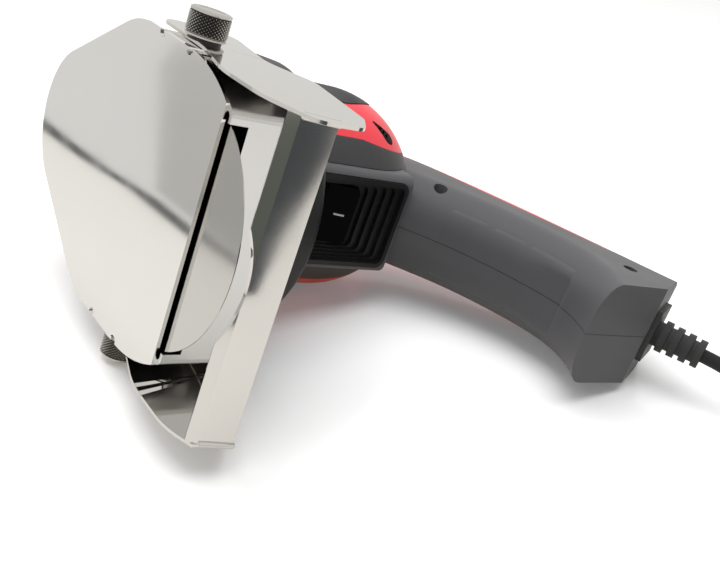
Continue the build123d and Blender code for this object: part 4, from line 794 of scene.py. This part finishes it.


# Room: a pale table that ends beyond the view, a painted reflection of a dark line along its edge, and what
# stands round it.
# Lamps have a place and a size in metres, and a power in watts.
LAMPS = [
    ("overhead_lamp", (0.0, 0.0, 1.3), 1.2, 16.5),
    ("left_lamp", (-1.1, -0.5, 0.9), 0.8, 3.5),
]
LAMPS_FACE = (0, 0, 0.05)
ROOM_TURNS_DARK = (0.1, 0.8)
ROOM_LIGHT, ROOM_DARK = 0.70, 0.16
WHITE = (1, 1, 1, 1)
ROOM_IN_METAL = (0.80, 0.79, 0.765, 1)
TABLE_HALF = 3.0
TABLE_EDGE = [(-2500, 300), (-411, -241), (-367, -258), (-328, -287), (-287, -296), (-257, -304), (400, -620)]
TABLE_LIFT = 0.14
TABLE_WARMTH, WARM_TONE = 0.24, (0.50, 0.40, 0.22, 1)


def background(tree, colour):
    """A plain tone of the room, at full strength."""
    tone = tree.nodes.new("ShaderNodeBackground")
    tone.inputs["Color"].default_value = colour
    return tone


def mixed(tree, share, first, second):
    """A mix of two shaders by a share."""
    mix = tree.nodes.new("ShaderNodeMixShader")
    for number, source in enumerate((share, first.outputs[0], second.outputs[0])):
        tree.links.new(source, mix.inputs[number])
    return mix


def set_up_room():
    """White room, darker towards the right, that metal mirrors in a warmer tone."""
    world = bpy.data.worlds.new("white_room")
    bpy.context.scene.world = world
    world.use_nodes = True
    tree = world.node_tree
    room = tree.nodes["Background"]
    room.inputs["Color"].default_value = WHITE
    way = tree.nodes.new("ShaderNodeSeparateXYZ")
    dimmed = tree.nodes.new("ShaderNodeMapRange")
    dimmed.interpolation_type = "SMOOTHSTEP"
    ends = (*ROOM_TURNS_DARK, ROOM_LIGHT, ROOM_DARK)
    for key, value in zip(("From Min", "From Max", "To Min", "To Max"), ends):
        dimmed.inputs[key].default_value = value
    tree.links.new(tree.nodes.new("ShaderNodeTexCoord").outputs["Generated"], way.inputs[0])
    tree.links.new(way.outputs["X"], dimmed.inputs["Value"])
    tree.links.new(dimmed.outputs[0], room.inputs["Strength"])
    rays = tree.nodes.new("ShaderNodeLightPath").outputs
    by_gloss = mixed(tree, rays["Is Glossy Ray"], room, background(tree, ROOM_IN_METAL))
    by_eye = mixed(tree, rays["Is Camera Ray"], by_gloss, background(tree, WHITE))
    tree.links.new(by_eye.outputs[0], tree.nodes["World Output"].inputs["Surface"])


def set_up_lamps():
    """One broad lamp overhead and one from the left."""
    for name, place, size, power in LAMPS:
        light = bpy.data.lights.new(name, "AREA")
        light.size = size
        light.energy = power
        lamp = add_object(name, light)
        lamp.location = place
        lamp.rotation_euler = (Vector(LAMPS_FACE) - Vector(place)).to_track_quat("-Z", "Y").to_euler()
        lamp.visible_glossy = False


def make_table():
    """The white table top. It keeps the tool's shadow and is plain white elsewhere."""
    top = bpy.data.meshes.new("table_top")
    edge = [(x * MM, y * MM) for x, y in TABLE_EDGE]
    places = [(TABLE_HALF, TABLE_HALF), (-TABLE_HALF, TABLE_HALF), *edge, (TABLE_HALF, -TABLE_HALF)]
    top.from_pydata([(x, y, 0) for x, y in places], [], [list(range(len(places)))])
    finish = Finish("table_white", (0.90, 0.90, 0.90), 0.12)
    tree = finish.tree
    rays = tree.nodes.new("ShaderNodeLightPath").outputs
    glow = tree.nodes.new("ShaderNodeEmission")
    glow.inputs["Color"].default_value = WHITE
    lift = finish.maths("MULTIPLY", rays["Is Camera Ray"], number=TABLE_LIFT)
    tree.links.new(lift, glow.inputs["Strength"])
    both = tree.nodes.new("ShaderNodeAddShader")
    tree.links.new(finish.shader.outputs[0], both.inputs[0])
    tree.links.new(glow.outputs[0], both.inputs[1])
    warm = tree.nodes.new("ShaderNodeEmission")
    warm.inputs["Color"].default_value = WARM_TONE
    warmth = finish.maths("MULTIPLY", rays["Is Glossy Ray"], number=TABLE_WARMTH)
    mirrored = mixed(tree, warmth, both, warm)
    tree.links.new(mirrored.outputs[0], tree.nodes["Material Output"].inputs["Surface"])
    top.materials.append(finish.material)
    add_object("table_top", top)


# Painted reflections: glowing sheets on the floor, seen only in the bright metal, that stand for a dark table
# edge and for shaded floor and walls. Each has an outline on the floor in millimetres, its tone, and its
# height.
# The dark line runs along the table's edge.
EDGE_WIDTH = 28.0
EDGE_LINE_REFLECTION = TABLE_EDGE + [(x, y - EDGE_WIDTH) for x, y in TABLE_EDGE[::-1]]
SHADED_FLOOR_REFLECTION = [
    (-362, -330), (-1521, -925), (-3000, -1760), (-3000, -2600), (-700, -1400), (-250, -470), (-150, -370),
]
BLUE_WALL_REFLECTION = [(234, -104), (240, -82), (330, -60), (455, -22), (1700, 330), (1700, -330), (700, -190)]
GREEN_WALL_REFLECTION = [(200, -112), (234, -104), (700, -190), (1700, -330), (1700, -900), (500, -420), (280, -240)]
PAINTED_REFLECTIONS = [
    ("edge_line", EDGE_LINE_REFLECTION, (0.035, 0.037, 0.042), 0.4),
    ("shaded_floor", SHADED_FLOOR_REFLECTION, (0.50, 0.495, 0.475), 0.3),
    ("blue_wall", BLUE_WALL_REFLECTION, (0.045, 0.05, 0.057), 0.2),
    ("green_wall", GREEN_WALL_REFLECTION, (0.09, 0.10, 0.085), 0.25),
]


def make_surroundings():
    """Painted reflections: dark and grey glowing sheets on the floor that only show as mirror images in the
    steel.
    """
    for name, outline, tone, height in PAINTED_REFLECTIONS:
        sheet = bpy.data.meshes.new(name)
        places = [(x * MM, y * MM, height * MM) for x, y in outline]
        sheet.from_pydata(places, [], [list(range(len(outline)))])
        # Only the upper side shows, so the table underneath doesn't mirror it
        if sheet.polygons[0].normal.z < 0:
            sheet.flip_normals()
        finish = Finish(name, (0, 0, 0), 1.0)
        # Each sheet glows in its tone, which paints its reflection and shade into the metal.
        finish.set(finish.shader, **{"Emission Color": (*tone, 1), "Emission Strength": 1.0})
        tree = finish.tree
        under = tree.nodes.new("ShaderNodeNewGeometry").outputs["Backfacing"]
        one_sided = mixed(tree, under, finish.shader, tree.nodes.new("ShaderNodeBsdfTransparent"))
        tree.links.new(one_sided.outputs[0], tree.nodes["Material Output"].inputs["Surface"])
        sheet.materials.append(finish.material)
        board = add_object(name, sheet)
        board.visible_camera = board.visible_diffuse = board.visible_shadow = False


set_up_camera()
made = finishes()
make_lead(made["lead_sheath"])
dress_nodes(made)
group = repeater()
make_thumb_screws(group, made["knurled_nickel"])
make_weld_beads(group, made["guide_steel"])
make_guide(made["guide_steel"])
make_finger_wall(made["black_grip"])
make_rocker_mark(made["mark_white"])
set_up_room()
set_up_lamps()
make_table()
make_surroundings()
bpy.context.scene.view_settings.view_transform = "Standard"
